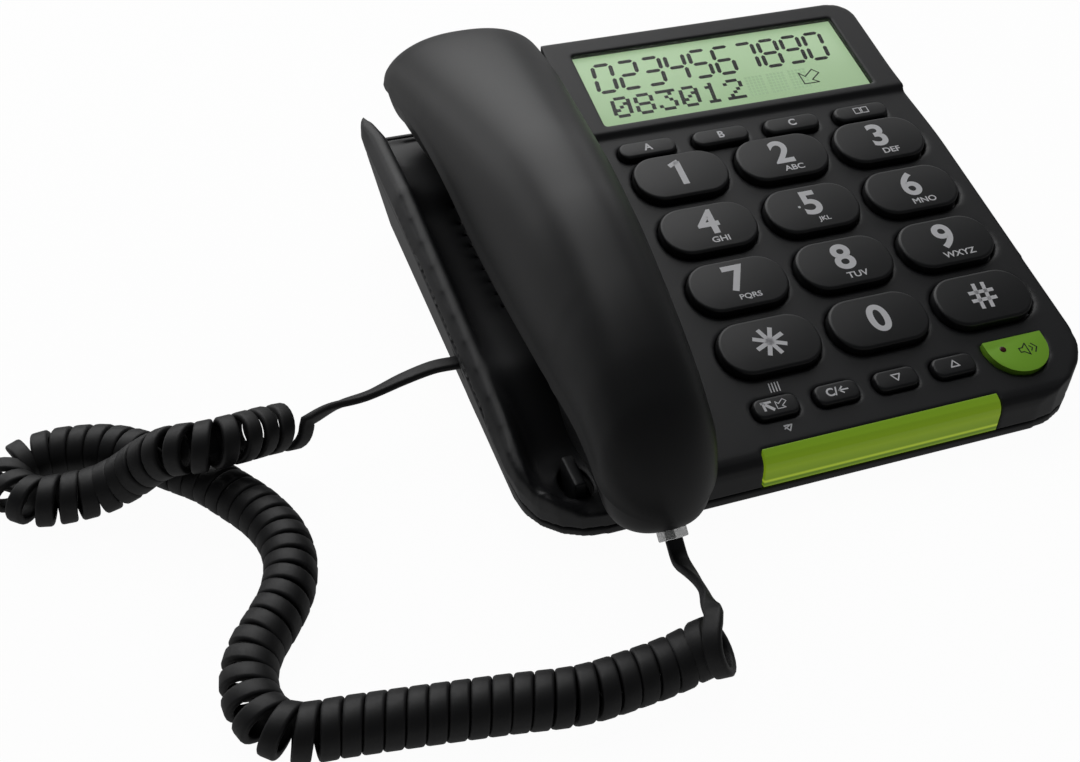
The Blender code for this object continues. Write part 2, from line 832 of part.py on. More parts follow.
def make_lower_housing(plastic):
    housing = add_base_block("lower_housing", 0.0, underside, block_top)
    for above in add_seam_side(close_above, seam_change_x - gap, gap):
        cut(housing, above)
    cut(housing, add_base_block("inside", wall, underside + wall, block_top + overrun))
    floor = underside + wall
    for _, x, y in screw_places():
        join(housing, add_turned("post", x, y, [
            (screw_boss_radius, underside + wall / 2), (screw_boss_radius, screw_boss_low - gap)]))
        cut(housing, add_turned("post_bore", x, y, [
            (screw_radius + gap, underside), (screw_radius + gap, screw_boss_low + overrun)]))
        cut(housing, add_turned("head_bore", x, y, [
            (screw_head_radius + gap, underside - overrun),
            (screw_head_radius + gap, underside + screw_head_height + gap)]))
    for x, y, depth in support_posts():
        top = face_height(y) + depth / math.cos(face_tilt) - gap / math.cos(face_tilt)
        lean = board_post_radius * math.tan(face_tilt)
        post = add_turned("support", x, y, [
            (board_post_radius, underside + wall / 2), (board_post_radius, top + lean)])
        line = [(y - overrun, top - overrun * math.tan(face_tilt)),
                (y + overrun, top + overrun * math.tan(face_tilt))]
        cut(post, add_side_prism("post_slope", close_above(line), x - overrun, x + overrun))
        join(housing, post)
    add_socket_seats(housing, floor)
    cut_battery_bay(housing, floor)
    for _, x, y in foot_places():
        cut(housing, add_turned("foot_hole", x, y, [
            (foot_radius + gap, underside - overrun), (foot_radius + gap, underside + foot_recess + gap)]))
    shade(housing, plastic)


def support_posts():
    """Posts under the board and under the display module, as (x, y, their level below the face)."""
    posts = []
    for share in post_x_shares:
        x = keypad_x + mat_left + (mat_right - mat_left) * share
        for s_share in post_y_shares:
            s = mat_front_s + (mat_rear_s - mat_front_s) * s_share
            posts.append((x, keypad_y + s * math.cos(face_tilt), board_low))
        s = display_front_s + display_depth * module_post_share
        posts.append((x, keypad_y + s * math.cos(face_tilt), module_low))
    return posts


def add_socket_seats(housing, floor):
    """Seats and wall openings for the handset cord's and the wall cord's sockets."""
    seat_left = socket_front_x()
    low = base_socket_height - base_socket_tall / 2 - gap
    join(housing, add_box(
        "socket_seat", (seat_left, base_socket_y - base_socket_width / 2, floor - wall / 2),
        (seat_left + base_socket_depth, base_socket_y + base_socket_width / 2, low)))
    half = plug_width / 2 + 2 * plug_clearance
    tall = plug_tall / 2 + 2 * plug_clearance
    cut(housing, add_box(
        "cord_opening", (far_left, base_socket_y - half, base_socket_height - tall),
        (seat_left - gap, base_socket_y + half, base_socket_height + tall)))
    rear = line_socket_rear_y()
    low = line_socket_height - line_socket_tall / 2 - gap
    join(housing, add_box(
        "line_seat", (line_socket_x - line_socket_width / 2, rear - line_socket_depth, floor - wall / 2),
        (line_socket_x + line_socket_width / 2, rear, low)))
    half = line_plug_width / 2 + plug_clearance
    tall = line_plug_tall / 2 + plug_clearance
    cut(housing, add_box(
        "line_opening", (line_socket_x - half, rear - overrun / 4, line_socket_height - tall),
        (line_socket_x + half, base_rear + overrun, line_socket_height + tall)))


def socket_front_x():
    """Front plane of the handset cord's socket, just inside the leaning wall."""
    left, _, _, _ = base_edges(base_socket_height - base_socket_tall / 2, wall)
    return left + gap


def line_socket_rear_y():
    _, _, _, rear = base_edges(line_socket_height + line_socket_tall / 2, wall)
    return rear - gap


def make_sockets(dark):
    """Sockets of both cords, each a block with a blind opening for its plug."""
    front = socket_front_x()
    low = base_socket_height - base_socket_tall / 2
    socket = add_box(
        "base_cord_socket", (front, base_socket_y - base_socket_width / 2, low),
        (front + base_socket_depth, base_socket_y + base_socket_width / 2, low + base_socket_tall))
    half = plug_width / 2 + plug_clearance
    tall = plug_tall / 2 + plug_clearance
    cut(socket, add_box(
        "socket_bore", (front - overrun, base_socket_y - half, base_socket_height - tall),
        (base_plug_inner_x() + gap, base_socket_y + half, base_socket_height + tall)))
    shade(socket, dark)
    rear = line_socket_rear_y()
    low = line_socket_height - line_socket_tall / 2
    socket = add_box(
        "line_socket", (line_socket_x - line_socket_width / 2, rear - line_socket_depth, low),
        (line_socket_x + line_socket_width / 2, rear, low + line_socket_tall))
    half = line_plug_width / 2
    tall = line_plug_tall / 2
    cut(socket, add_box(
        "line_bore", (line_socket_x - half, rear - line_socket_depth + wall, line_socket_height - tall),
        (line_socket_x + half, rear + overrun, line_socket_height + tall)))
    shade(socket, dark)


def base_plug_outer_x():
    left, _, _, _ = base_edges(base_socket_height, 0.0)
    return left + base_plug_stand_out


def base_plug_inner_x():
    return base_plug_outer_x() + plug_length


# Battery bay

def bay_box(margin):
    width = battery_length + 2 * bay_margin
    depth = 2 * battery_radius + (battery_count - 1) * battery_pitch + 2 * bay_margin
    low = (battery_x - margin, battery_y - margin)
    high = (battery_x + width + margin, battery_y + depth + margin)
    return low, high


def cut_battery_bay(housing, floor):
    """Opening in the underside with a low wall round the cells."""
    low, high = bay_box(bay_wall)
    wall_top = floor + gap + 2 * battery_radius * battery_wall_share
    join(housing, add_box("bay_wall", (*low, floor - wall / 2), (*high, wall_top)))
    low, high = bay_box(0.0)
    cut(housing, add_box("bay", (*low, underside - overrun), (*high, wall_top + overrun)))


def make_battery_cover(plastic, steel):
    low, high = bay_box(-gap)
    cover = add_box("battery_cover", (*low, underside), (*high, underside + wall))
    for side in (low[0], high[0]):
        inner = bay_wall if side == low[0] else -bay_wall
        edges = sorted((side, side + inner))
        join(cover, add_box(
            "cover_rib", (edges[0], low[1], underside + wall / 2),
            (edges[1], high[1], underside + 2 * wall)))
    shade(cover, plastic)
    height = underside + wall + gap + battery_radius
    left = battery_x + bay_margin
    for index in range(battery_count):
        y = battery_y + bay_margin + battery_radius + index * battery_pitch
        rings = []
        for x in (left, left + battery_length):
            turns = [2 * math.pi * step / round_steps for step in range(round_steps)]
            rings.append([
                (x, y + battery_radius * math.cos(a), height + battery_radius * math.sin(a)) for a in turns])
        shade(add_loft("battery_%d" % (index + 1), rings), steel)


# Feet and screws

def foot_places():
    left, right, front, rear = base_edges(underside, 0.0)
    places = []
    for side, x in (("left", left + foot_inset_x), ("right", right - foot_inset_x)):
        for end, y in (("front", front + foot_inset_y), ("rear", rear - foot_inset_y)):
            places.append(("foot_%s_%s" % (end, side), x, y))
    return places


def make_feet(rubber):
    for name, x, y in foot_places():
        shade(add_turned(name, x, y, [
            (foot_radius - foot_recess, 0.0), (foot_radius, foot_recess),
            (foot_radius, foot_height + foot_recess)]), rubber)


def make_base_screws(steel):
    for name, x, y in screw_places():
        head_top = underside + screw_head_height
        shade(add_turned(name, x, y, [
            (screw_head_radius, underside), (screw_head_radius, head_top), (screw_radius, head_top),
            (screw_radius, screw_boss_low + screw_bite)]), steel)


# Loudspeaker and hook

def make_base_speaker(dark):
    top = channel_height - wall - gap
    shade(add_turned("base_speaker", speaker_x, speaker_y, [
        (speaker_magnet_radius, top - speaker_depth), (speaker_magnet_radius, top - speaker_depth / 2),
        (speaker_radius, top - speaker_frame), (speaker_radius, top)], steps=20), dark)


def make_hook(plastic, dark):
    """Plunger that the handset holds down, and the switch beside its plate."""
    half_width = hook_width / 2
    half_length = hook_length / 2
    plunger = add_box(
        "hook_plunger", (hook_x - half_width, hook_y - half_length, hook_plate_height),
        (hook_x + half_width, hook_y + half_length, hook_top_height))
    plate_right = hook_x + half_width + hook_plate_margin
    join(plunger, add_box(
        "hook_plate",
        (hook_x - half_width - hook_plate_margin, hook_y - half_length - hook_plate_margin,
         hook_plate_height),
        (plate_right, hook_y + half_length + hook_plate_margin,
         hook_plate_height + hook_plate_thickness)))
    shade(plunger, plastic)
    low = underside + wall + gap
    shade(add_box(
        "hook_switch", (plate_right + gap, hook_y - hook_switch_length / 2, low),
        (plate_right + gap + hook_switch_width, hook_y + hook_switch_length / 2,
         low + hook_switch_height)), dark)


# Handset

def handset_y(share):
    return handset_rear - share * handset_length


def handset_heights(share):
    """Top, seam and underside of the handset, whose ear end rests on the cradle's shelf."""
    high = handset_crown * interpolate(top_shares, share)
    low = (shelf_height + gap) * interpolate(bottom_shares, share)
    return high, low + (high - low) * interpolate(seam_shares, share), low


def end_scale(share, ear_share, mouth_share):
    """Rounds both ends of the handset, each over its own share of the length."""
    scale = 1.0
    if share < ear_share:
        scale = math.sqrt(1 - (1 - share / ear_share) ** 2)
    if share > 1 - mouth_share:
        scale = math.sqrt(1 - (1 - (1 - share) / mouth_share) ** 2)
    return scale


def handset_section(share, inset):
    """Ring of the handset at a share of its length, moved in by the inset."""
    scale = end_scale(share, ear_end_share, mouth_end_share)
    scale_across = end_scale(share, ear_corner_share, mouth_end_share)
    high, middle, low = handset_heights(share)
    up = (high - middle) * scale - inset
    down = (middle - low) * scale - inset
    half = handset_half_width * interpolate(width_shares, share) * scale_across - inset
    ring = []
    for index in range(section_points):
        angle = 2 * math.pi * (index + 0.5) / section_points
        c, s = math.cos(angle), math.sin(angle)
        x = half * math.copysign(abs(c) ** (2 / section_power), c)
        z = (up if s > 0 else down) * math.copysign(abs(s) ** (2 / section_power), s)
        ring.append((handset_x + x, handset_y(share), middle + z))
    return ring


def add_handset_solid(name, inset):
    first, last = hollow_shares
    shares = [s for s in station_shares if inset == 0 or first + hollow_step < s < last - hollow_step]
    if inset > 0:
        edge = inset / handset_length
        shares = [first + edge] + shares + [last - edge]
    return add_loft(name, [handset_section(share, inset) for share in shares])


def handset_seam_line(lift):
    points = []
    for share in seam_line_shares:
        inside = min(1.0, max(0.0, share))
        points.append((handset_y(share), handset_heights(inside)[1] + lift))
    return points[::-1]


def make_handset(plastic):
    low_x = handset_x - 2 * handset_half_width
    high_x = handset_x + 2 * handset_half_width
    outer = add_handset_solid("handset_outer_shell", 0.0)
    cut(outer, add_handset_solid("hollow", handset_wall))
    inner = bpy.data.objects.new("handset_inner_shell", outer.data.copy())
    bpy.context.collection.objects.link(inner)
    cut(outer, add_side_prism("under", close_below(handset_seam_line(gap / 2)), low_x, high_x))
    cut(inner, add_side_prism("over", close_above(handset_seam_line(-gap / 2)), low_x, high_x))
    add_weight_ribs(inner)
    add_capsule_seats(inner)
    cut_handset_holes(inner)
    shade(outer, plastic)
    shade(inner, plastic)


def add_weight_ribs(inner):
    """Two ribs that carry the weight, standing on the inner shell's floor."""
    middle = handset_y(weight_share)
    for side in (-1, 1):
        y = middle + side * weight_length * weight_rib_share
        share = (handset_rear - y) / handset_length
        floor = handset_floor(share) + handset_wall / 2
        join(inner, add_box(
            "rib", (handset_x - weight_width / 2, y - weight_rib / 2, floor),
            (handset_x + weight_width / 2, y + weight_rib / 2, weight_height - gap)))


def handset_floor(share):
    """Underside of the handset at its middle line."""
    return handset_heights(share)[2]


def capsules():
    """Both capsules as (x, share of the length, lift over the floor, radius)."""
    return [
        (handset_x, receiver_share, receiver_lift, receiver_radius),
        (handset_x - handset_socket_offset, microphone_share, microphone_lift, microphone_radius)]


def add_capsule_seats(inner):
    for x, share, lift, radius in capsules():
        low = handset_floor(share) + handset_wall
        join(inner, add_turned("seat", x, handset_y(share), [
            (radius - capsule_seat, low - handset_wall / 2), (radius - capsule_seat, low + lift)]))


def cut_handset_holes(inner):
    """Sound holes at both ends, the cord's opening and the screw's bore."""
    y = handset_y(receiver_share)
    places = [(handset_x, y)]
    for index in range(ear_holes):
        angle = 2 * math.pi * index / ear_holes
        places.append((handset_x + ear_hole_ring * math.cos(angle), y + ear_hole_ring * math.sin(angle)))
    places.append((handset_x - handset_socket_offset, handset_y(microphone_share)))
    for x, y in places:
        low = handset_floor((handset_rear - y) / handset_length)
        cut(inner, add_box(
            "sound_hole", (x - handset_hole / 2, y - handset_hole / 2, low - overrun),
            (x + handset_hole / 2, y + handset_hole / 2, low + handset_wall + 2 * overrun)))


def handset_socket_frame():
    """Axes of the handset's cord socket: its mouth, and the way out of it."""
    out = Vector((0, -math.cos(handset_socket_tilt), -math.sin(handset_socket_tilt)))
    up = Vector((0, -math.sin(handset_socket_tilt), math.cos(handset_socket_tilt)))
    y = handset_y(1.0) + handset_socket_setback
    mouth = Vector((handset_x + handset_socket_offset, y, handset_socket_z))
    return mouth, out, up


def add_slanted_box(name, near, far, width, tall, material=None):
    """Box along the handset socket's axis, between two distances out of its mouth."""
    mouth, out, up = handset_socket_frame()
    side = Vector((1, 0, 0))
    rings = []
    for distance in (near, far):
        centre = mouth + out * distance
        rings.append([
            centre + side * (width / 2 * a) + up * (tall / 2 * b)
            for a, b in ((-1, -1), (1, -1), (1, 1), (-1, 1))])
    return add_loft(name, rings, material)


def make_handset_insides(inner, dark, steel):
    """Receiver, microphone, weight and cord socket, each on its seat in the inner shell."""
    low = handset_floor(receiver_share) + handset_wall + receiver_lift + gap
    shade(add_turned("receiver_capsule", handset_x, handset_y(receiver_share), [
        (receiver_radius - capsule_seat, low), (receiver_radius, low + capsule_seat / 2),
        (receiver_radius, low + receiver_depth)], steps=16), dark)
    low = handset_floor(microphone_share) + handset_wall + microphone_lift + gap
    x = handset_x - handset_socket_offset
    shade(add_turned("microphone_capsule", x, handset_y(microphone_share), [
        (microphone_radius, low), (microphone_radius, low + microphone_depth)]), steel)
    middle = handset_y(weight_share)
    shade(add_box(
        "handset_weight",
        (handset_x - weight_width / 2, middle - weight_length / 2, weight_height),
        (handset_x + weight_width / 2, middle + weight_length / 2, weight_height + weight_tall)), steel)
    bore_width = plug_width + 2 * plug_clearance
    bore_tall = plug_tall + 2 * plug_clearance
    reach = plug_length - handset_plug_stand_out
    cut(inner, add_slanted_box(
        "cord_hole", -handset_socket_length - wall, overrun + plug_length,
        bore_width + 2 * handset_socket_wall + 2 * gap, bore_tall + 2 * handset_socket_wall + 2 * gap))
    socket = add_slanted_box(
        "handset_cord_socket", -handset_socket_length, 0.0,
        bore_width + 2 * handset_socket_wall, bore_tall + 2 * handset_socket_wall)
    cut(socket, add_slanted_box("bore", -reach - gap, overrun, bore_width, bore_tall))
    shade(socket, dark)


# Cord

def smooth_route(points):
    """Points about route_step apart on a smooth curve through the route's own points."""
    rows = [np.array(point) for point in points]
    rows = [2 * rows[0] - rows[1]] + rows + [2 * rows[-1] - rows[-2]]
    fine = []
    for a, b, c, d in zip(rows, rows[1:], rows[2:], rows[3:]):
        steps = max(2, int(np.linalg.norm(c - b) / route_step))
        for step in range(steps):
            t = step / steps
            fine.append(0.5 * (2 * b + (c - a) * t + (2 * a - 5 * b + 4 * c - d) * t ** 2
                               + (3 * b - a - 3 * c + d) * t ** 3))
    fine.append(rows[-2])
    return np.array(fine)


def coil_frames():
    """Centre, tangent, side and upward axes at every point of a curl."""
    fine = smooth_route(coil_route)
    steps = np.linalg.norm(np.diff(fine, axis=0), axis=1)
    length = np.concatenate([[0.0], np.cumsum(steps)])
    even = np.arange(0.0, length[-1], route_step)
    centre = np.stack([np.interp(even, length, fine[:, axis]) for axis in range(3)], axis=1)
    tangent = np.gradient(centre, axis=0)
    tangent /= np.linalg.norm(tangent, axis=1)[:, None]
    span = int(2 * coil_radius / route_step)
    kernel = np.ones(span) / span
    bend = np.linalg.norm(np.gradient(tangent, axis=0), axis=1) / route_step
    bend = np.convolve(np.pad(bend, span, mode="edge"), kernel, mode="same")[span:-span]
    pitch = (ribbon_width + curl_gap) / np.clip(1 - coil_radius * bend, 0.25, 1.0)
    turns = np.concatenate([[0.0], np.cumsum(route_step / pitch)])[:-1]
    count = int(turns[-1] * curl_points)
    count -= (count - head_points) % curl_points
    at = np.interp(np.arange(count + 1) / curl_points, turns, even)
    rows = []
    for index, place in enumerate(at):
        here = np.array([np.interp(place, even, centre[:, axis]) for axis in range(3)])
        ahead = np.array([np.interp(place, even, tangent[:, axis]) for axis in range(3)])
        ahead /= np.linalg.norm(ahead)
        side = np.cross(ahead, (0.0, 0.0, 1.0))
        side /= np.linalg.norm(side)
        angle = math.pi / 2 - 2 * math.pi * (count - index) / curl_points
        rows.append((here, ahead, side, np.cross(side, ahead), angle))
    return rows


def coil_sections():
    """Middle, width axis and thickness axis of the cord at each point of the curls."""
    middle_radius = coil_radius - ribbon_thickness / 2
    rows = coil_frames()
    sections = []
    for index, (here, ahead, side, up, angle) in enumerate(rows):
        out = side * math.cos(angle) + up * math.sin(angle)
        to_end = (len(rows) - 1 - index) / (curl_points * end_curls)
        spread = end_spread * max(1 - to_end, 0.0)
        sections.append((here + out * (middle_radius + spread), ahead, out))
    return sections


def straight_end(sections, outward):
    """Section past an end of the curls, straight on."""
    (first, wide, thick), (second, _, _) = (
        (sections[-1], sections[-2]) if outward > 0 else (sections[0], sections[1]))
    way = first - second
    way = way - wide * np.dot(way, wide)
    way /= np.linalg.norm(way)
    thick = thick - way * np.dot(thick, way)
    thick /= np.linalg.norm(thick)
    return first + way * straight_run, wide, thick, way


def ribbon_ring(middle, wide, thick):
    corners = ((-1, -1), (1, -1), (1, 1), (-1, 1))
    return [Vector(middle + wide * (ribbon_width / 2 * a) + thick * (ribbon_thickness / 2 * b))
            for a, b in corners]


def print_coil_gap(rings):
    """Least distance between points of the cord that lie more than half a curl apart."""
    points = []
    for ring in rings:
        corners = np.array([list(corner) for corner in ring])
        points.append(np.concatenate([corners, (corners + np.roll(corners, 1, axis=0)) / 2]))
    points = np.array(points)
    least = 1.0
    for index in range(len(points) - curl_points // 2 - 2):
        others = points[index + curl_points // 2 + 2:].reshape(-1, 3)
        apart = np.linalg.norm(points[index][:, None, :] - others[None, :, :], axis=2)
        least = min(least, float(apart.min()))
    print("curls %d, least gap of the coil to itself %.2f mm" % (len(rings) // curl_points, least * 1000))


def make_coil(black):
    sections = coil_sections()
    head = straight_end(sections, -1)
    tail = straight_end(sections, 1)
    rows = [head[:3]] + sections + [tail[:3]]
    rings = [ribbon_ring(*row) for row in rows]
    print_coil_gap(rings)
    shade(add_loft("cord_coil", rings), black)
    return head, tail


def add_tail(name, coil_end, route, plug_face, plug_way, plug_wide, black):
    """Flat straight cord from the coil's end to its plug, turning its width on the way."""
    start, wide, _, way = coil_end
    begin = start + way * gap
    finish = plug_face + plug_way * gap
    near = begin + way * straight_run
    far = finish + plug_way * straight_run
    fine = smooth_route([near] + route + [far])
    length = np.concatenate([[0.0], np.cumsum(np.linalg.norm(np.diff(fine, axis=0), axis=1))])
    count = max(4, int(length[-1] / tail_spacing))
    middles = [begin]
    for index in range(count + 1):
        place = length[-1] * index / count
        middles.append(np.array([np.interp(place, length, fine[:, axis]) for axis in range(3)]))
    middles.append(finish)
    rings = []
    for index, here in enumerate(middles):
        tangent = middles[min(index + 1, len(middles) - 1)] - middles[max(index - 1, 0)]
        if index == 0:
            tangent = way
        if index == len(middles) - 1:
            tangent = -plug_way
        tangent = tangent / np.linalg.norm(tangent)
        share = index / (len(middles) - 1)
        across = wide * (1 - share) + plug_wide * share
        across = across - tangent * np.dot(across, tangent)
        across /= np.linalg.norm(across)
        rings.append(ribbon_ring(here, across, np.cross(tangent, across)))
    shade(add_loft(name, rings), black)


def make_cord(black, clear):
    """Plugs, tails and coil, end to end."""
    outer = base_plug_outer_x()
    shade(add_box(
        "cord_plug_base",
        (outer, base_socket_y - plug_width / 2, base_socket_height - plug_tall / 2),
        (outer + plug_length, base_socket_y + plug_width / 2, base_socket_height + plug_tall / 2)), clear)
    reach = plug_length - handset_plug_stand_out
    shade(add_slanted_box(
        "cord_plug_handset", -reach, handset_plug_stand_out, plug_width, plug_tall), clear)
    head, tail = make_coil(black)
    face = np.array((outer, base_socket_y, base_socket_height))
    wide = np.array((0.0, 1.0, 0.0))
    if np.dot(wide, head[1]) < 0:
        wide = -wide
    route = [np.array(point) for point in tail_base_route[::-1]]
    add_tail("cord_tail_base", head, route, face, np.array((-1.0, 0.0, 0.0)), wide, black)
    mouth, out, _ = handset_socket_frame()
    face = np.array(mouth + out * handset_plug_stand_out)
    wide = np.array((1.0, 0.0, 0.0))
    if np.dot(wide, tail[1]) < 0:
        wide = -wide
    route = [np.array(point) for point in tail_handset_route[::-1]]
    add_tail("cord_tail_handset", tail, route, face, np.array(out), wide, black)


def main():
    clear_scene()
    charcoal = make_material("charcoal_plastic", (0.020, 0.021, 0.023), 0.42)
    key_black = make_material("key_plastic", (0.016, 0.017, 0.019), 0.38)
    key_green = make_material("green_plastic", (0.22, 0.50, 0.03), 0.35)
    bar_green = make_material("light_bar_plastic", (0.16, 0.34, 0.02), 0.25)
    clear = make_material("clear_plastic", (0.80, 0.82, 0.80), 0.08, 0.0, 0.4)
    panel = make_material("display_glass", (0.38, 0.55, 0.36), 0.30)
    silicone = make_material("silicone", (0.35, 0.36, 0.38), 0.60)
    board = make_material("circuit_board", (0.03, 0.20, 0.07), 0.45)
    dark = make_material("component_black", (0.02, 0.02, 0.02), 0.50)
    steel = make_material("zinc_steel", (0.55, 0.56, 0.58), 0.30, 1.0)
    rubber = make_material("foot_rubber", (0.03, 0.03, 0.03), 0.80)
    cord_black = make_material("cord_black", (0.010, 0.010, 0.011), 0.45)
    frame = add_face_frame()
    make_upper_housing(frame, charcoal)
    make_lower_housing(charcoal)
    make_keys(frame, key_black, key_green)
    make_key_layers(frame, silicone, board)
    make_display(frame, clear, panel)
    make_light_bar(bar_green)
    make_sockets(dark)
    make_battery_cover(charcoal, steel)
    make_feet(rubber)
    make_base_screws(steel)
    make_base_speaker(dark)
    make_hook(charcoal, dark)
    make_handset(charcoal)
    make_handset_insides(bpy.data.objects["handset_inner_shell"], dark, steel)
    make_cord(cord_black, clear)


main()
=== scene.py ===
import math

import bmesh
import bpy
import numpy as np
from mathutils import Matrix, Vector


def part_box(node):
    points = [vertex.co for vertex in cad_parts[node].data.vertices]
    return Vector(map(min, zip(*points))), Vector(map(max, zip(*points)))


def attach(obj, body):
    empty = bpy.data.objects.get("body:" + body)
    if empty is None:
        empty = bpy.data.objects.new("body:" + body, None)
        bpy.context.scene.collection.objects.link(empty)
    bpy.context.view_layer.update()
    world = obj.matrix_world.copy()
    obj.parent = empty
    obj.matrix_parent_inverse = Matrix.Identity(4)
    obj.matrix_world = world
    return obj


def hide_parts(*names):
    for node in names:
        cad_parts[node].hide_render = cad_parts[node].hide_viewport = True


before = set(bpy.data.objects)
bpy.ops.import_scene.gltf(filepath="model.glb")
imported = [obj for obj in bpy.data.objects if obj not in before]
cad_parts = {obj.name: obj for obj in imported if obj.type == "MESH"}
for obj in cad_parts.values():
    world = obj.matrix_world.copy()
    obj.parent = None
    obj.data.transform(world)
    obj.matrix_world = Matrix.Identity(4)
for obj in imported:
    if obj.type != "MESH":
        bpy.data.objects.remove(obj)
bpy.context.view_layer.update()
scene = bpy.context.scene

# Studio
# A white table, one large softbox behind the telephone, and two small ones at the sides. Black plastic
# shows little but their reflections. The camera stands where the photograph was taken.


def linear(code):
    """A colour written as an sRGB hex value, as the shaders take it."""
    shares = [int(code[place:place + 2], 16) / 255 for place in (1, 3, 5)]
    return tuple(c / 12.92 if c <= 0.04045 else ((c + 0.055) / 1.055) ** 2.4 for c in shares) + (1.0,)


def add_node(tree, kind, values=None, links=None, **settings):
    """Adds a node with its settings, its inputs' values and the outputs that feed it."""
    item = tree.nodes.new(kind)
    for key, value in settings.items():
        setattr(item, key, value)
    for key, value in (values or {}).items():
        item.inputs[key].default_value = value
    for key, output in (links or {}).items():
        tree.links.new(output, item.inputs[key])
    return item


def ray_is_seen(tree, mirror_share):
    """1 for rays that show the background, straight or through glass, and a share for mirrored ones."""
    ray = add_node(tree, "ShaderNodeLightPath")
    direct = add_node(tree, "ShaderNodeMath", operation="MAXIMUM", links={
        0: ray.outputs["Is Camera Ray"], 1: ray.outputs["Is Transmission Ray"]})
    mirrored = add_node(tree, "ShaderNodeMath", {1: mirror_share}, {0: ray.outputs["Is Glossy Ray"]},
                        operation="MULTIPLY")
    either = add_node(tree, "ShaderNodeMath", operation="MAXIMUM", links={
        0: direct.outputs[0], 1: mirrored.outputs[0]})
    return either.outputs[0]


def new_piece(name, mesh, material, body, *nodes):
    """Puts a finished mesh in the scene, on its body and in place of its CAD nodes."""
    if isinstance(mesh, bmesh.types.BMesh):
        shape = bpy.data.meshes.new(name)
        mesh.to_mesh(shape)
        mesh.free()
        mesh = shape
    piece = bpy.data.objects.new(name, mesh)
    scene.collection.objects.link(piece)
    mesh.materials.clear()
    if material:
        mesh.materials.append(material)
    if body:
        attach(piece, body)
    if nodes:
        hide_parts(*nodes)
    return piece


def settle(piece):
    """Turns a piece's modifiers into its mesh."""
    graph = bpy.context.evaluated_depsgraph_get()
    mesh = bpy.data.meshes.new_from_object(piece.evaluated_get(graph))
    piece.modifiers.clear()
    piece.data = mesh
    return piece


def modify(piece, kind, **settings):
    """Adds a modifier with its settings."""
    modifier = piece.modifiers.new(kind.lower(), kind)
    for key, value in settings.items():
        setattr(modifier, key, value)


def shade_smooth(piece, angle=30.0):
    """Smooth shading with crisp edges where the surface turns by more than the angle."""
    piece.data.shade_smooth()
    piece.data.set_sharp_from_angle(angle=math.radians(angle))
    return piece


world = bpy.data.worlds.new("studio")
scene.world = world
world.use_nodes = True
tree = world.node_tree
tree.nodes.clear()
ambient = add_node(tree, "ShaderNodeBackground", {"Color": linear("#f4f6fa"), "Strength": 0.05})
white = add_node(tree, "ShaderNodeBackground", {"Color": linear("#ffffff"), "Strength": 1.0})
blend = add_node(tree, "ShaderNodeMixShader", links={
    0: ray_is_seen(tree, 0.05), 1: ambient.outputs[0], 2: white.outputs[0]})
add_node(tree, "ShaderNodeOutputWorld", links={"Surface": blend.outputs[0]})

table_paint = bpy.data.materials.new("table_paint")
table_paint.use_nodes = True
tree = table_paint.node_tree
tree.nodes.clear()
straight = add_node(tree, "ShaderNodeLightPath")
shade = add_node(tree, "ShaderNodeMix", {"A": linear("#767676"), "B": linear("#fbfbfb")}, {
    "Factor": straight.outputs["Is Camera Ray"]}, data_type="RGBA")
paint = add_node(tree, "ShaderNodeBsdfDiffuse", links={"Color": shade.outputs["Result"]})
glow = add_node(tree, "ShaderNodeEmission", {"Color": linear("#ffffff"), "Strength": 1.0})
half = add_node(tree, "ShaderNodeMath", {1: 0.97}, {0: ray_is_seen(tree, 0.28)}, operation="MULTIPLY")
blend = add_node(tree, "ShaderNodeMixShader", links={
    0: half.outputs[0], 1: paint.outputs[0], 2: glow.outputs[0]})
add_node(tree, "ShaderNodeOutputMaterial", links={"Surface": blend.outputs[0]})
table = bmesh.new()
bmesh.ops.create_grid(table, x_segments=4, y_segments=4, size=3.0)
new_piece("table", table, table_paint, None)

for name, place, size, power in (
        ("softbox_rear", (-0.12, 0.86, 1.00), 1.40, 12.0),
        ("softbox_right", (0.75, 0.80, 0.55), 0.50, 0.9),
        ("softbox_left", (-0.90, 0.95, 0.30), 0.50, 1.3)):
    lamp = bpy.data.lights.new(name, "AREA")
    lamp.shape = "SQUARE"
    lamp.size = size
    lamp.energy = power
    stand = bpy.data.objects.new(name, lamp)
    stand.location = place
    stand.rotation_euler = (Vector((-0.02, 0.0, 0.04)) - Vector(place)).to_track_quat("-Z", "Y").to_euler()
    scene.collection.objects.link(stand)

lens = bpy.data.cameras.new("camera")
lens.sensor_width = 36.0
lens.lens = 41.688
lens.clip_start = 0.01
camera = bpy.data.objects.new("camera", lens)
camera.location = (-0.16681, -0.31820, 0.26901)
camera.rotation_euler = (math.radians(50.273), 0.0, math.radians(-18.593))
scene.collection.objects.link(camera)
scene.camera = camera
scene.view_settings.view_transform = "Standard"


# Handset cord
# A flat cord of soft black PVC, wound hot round a rod so that it keeps its curls. It runs from the
# clear plug in the base's left wall, over itself and along the table to the plug in the handset.

cord_width = 0.0051
cord_thickness = 0.0024
curl_radius = 0.0075
curl_gap = 0.0001
curl_points = 24
end_spread = 0.0016
end_curls = 1.1
loose_share = 0.45
loose_run = 0.0120
turn_share = 0.30
strap_upright = np.array((0.42, -0.41, -0.81))
plug_reach = 0.0062
curl_rest = 0.0077
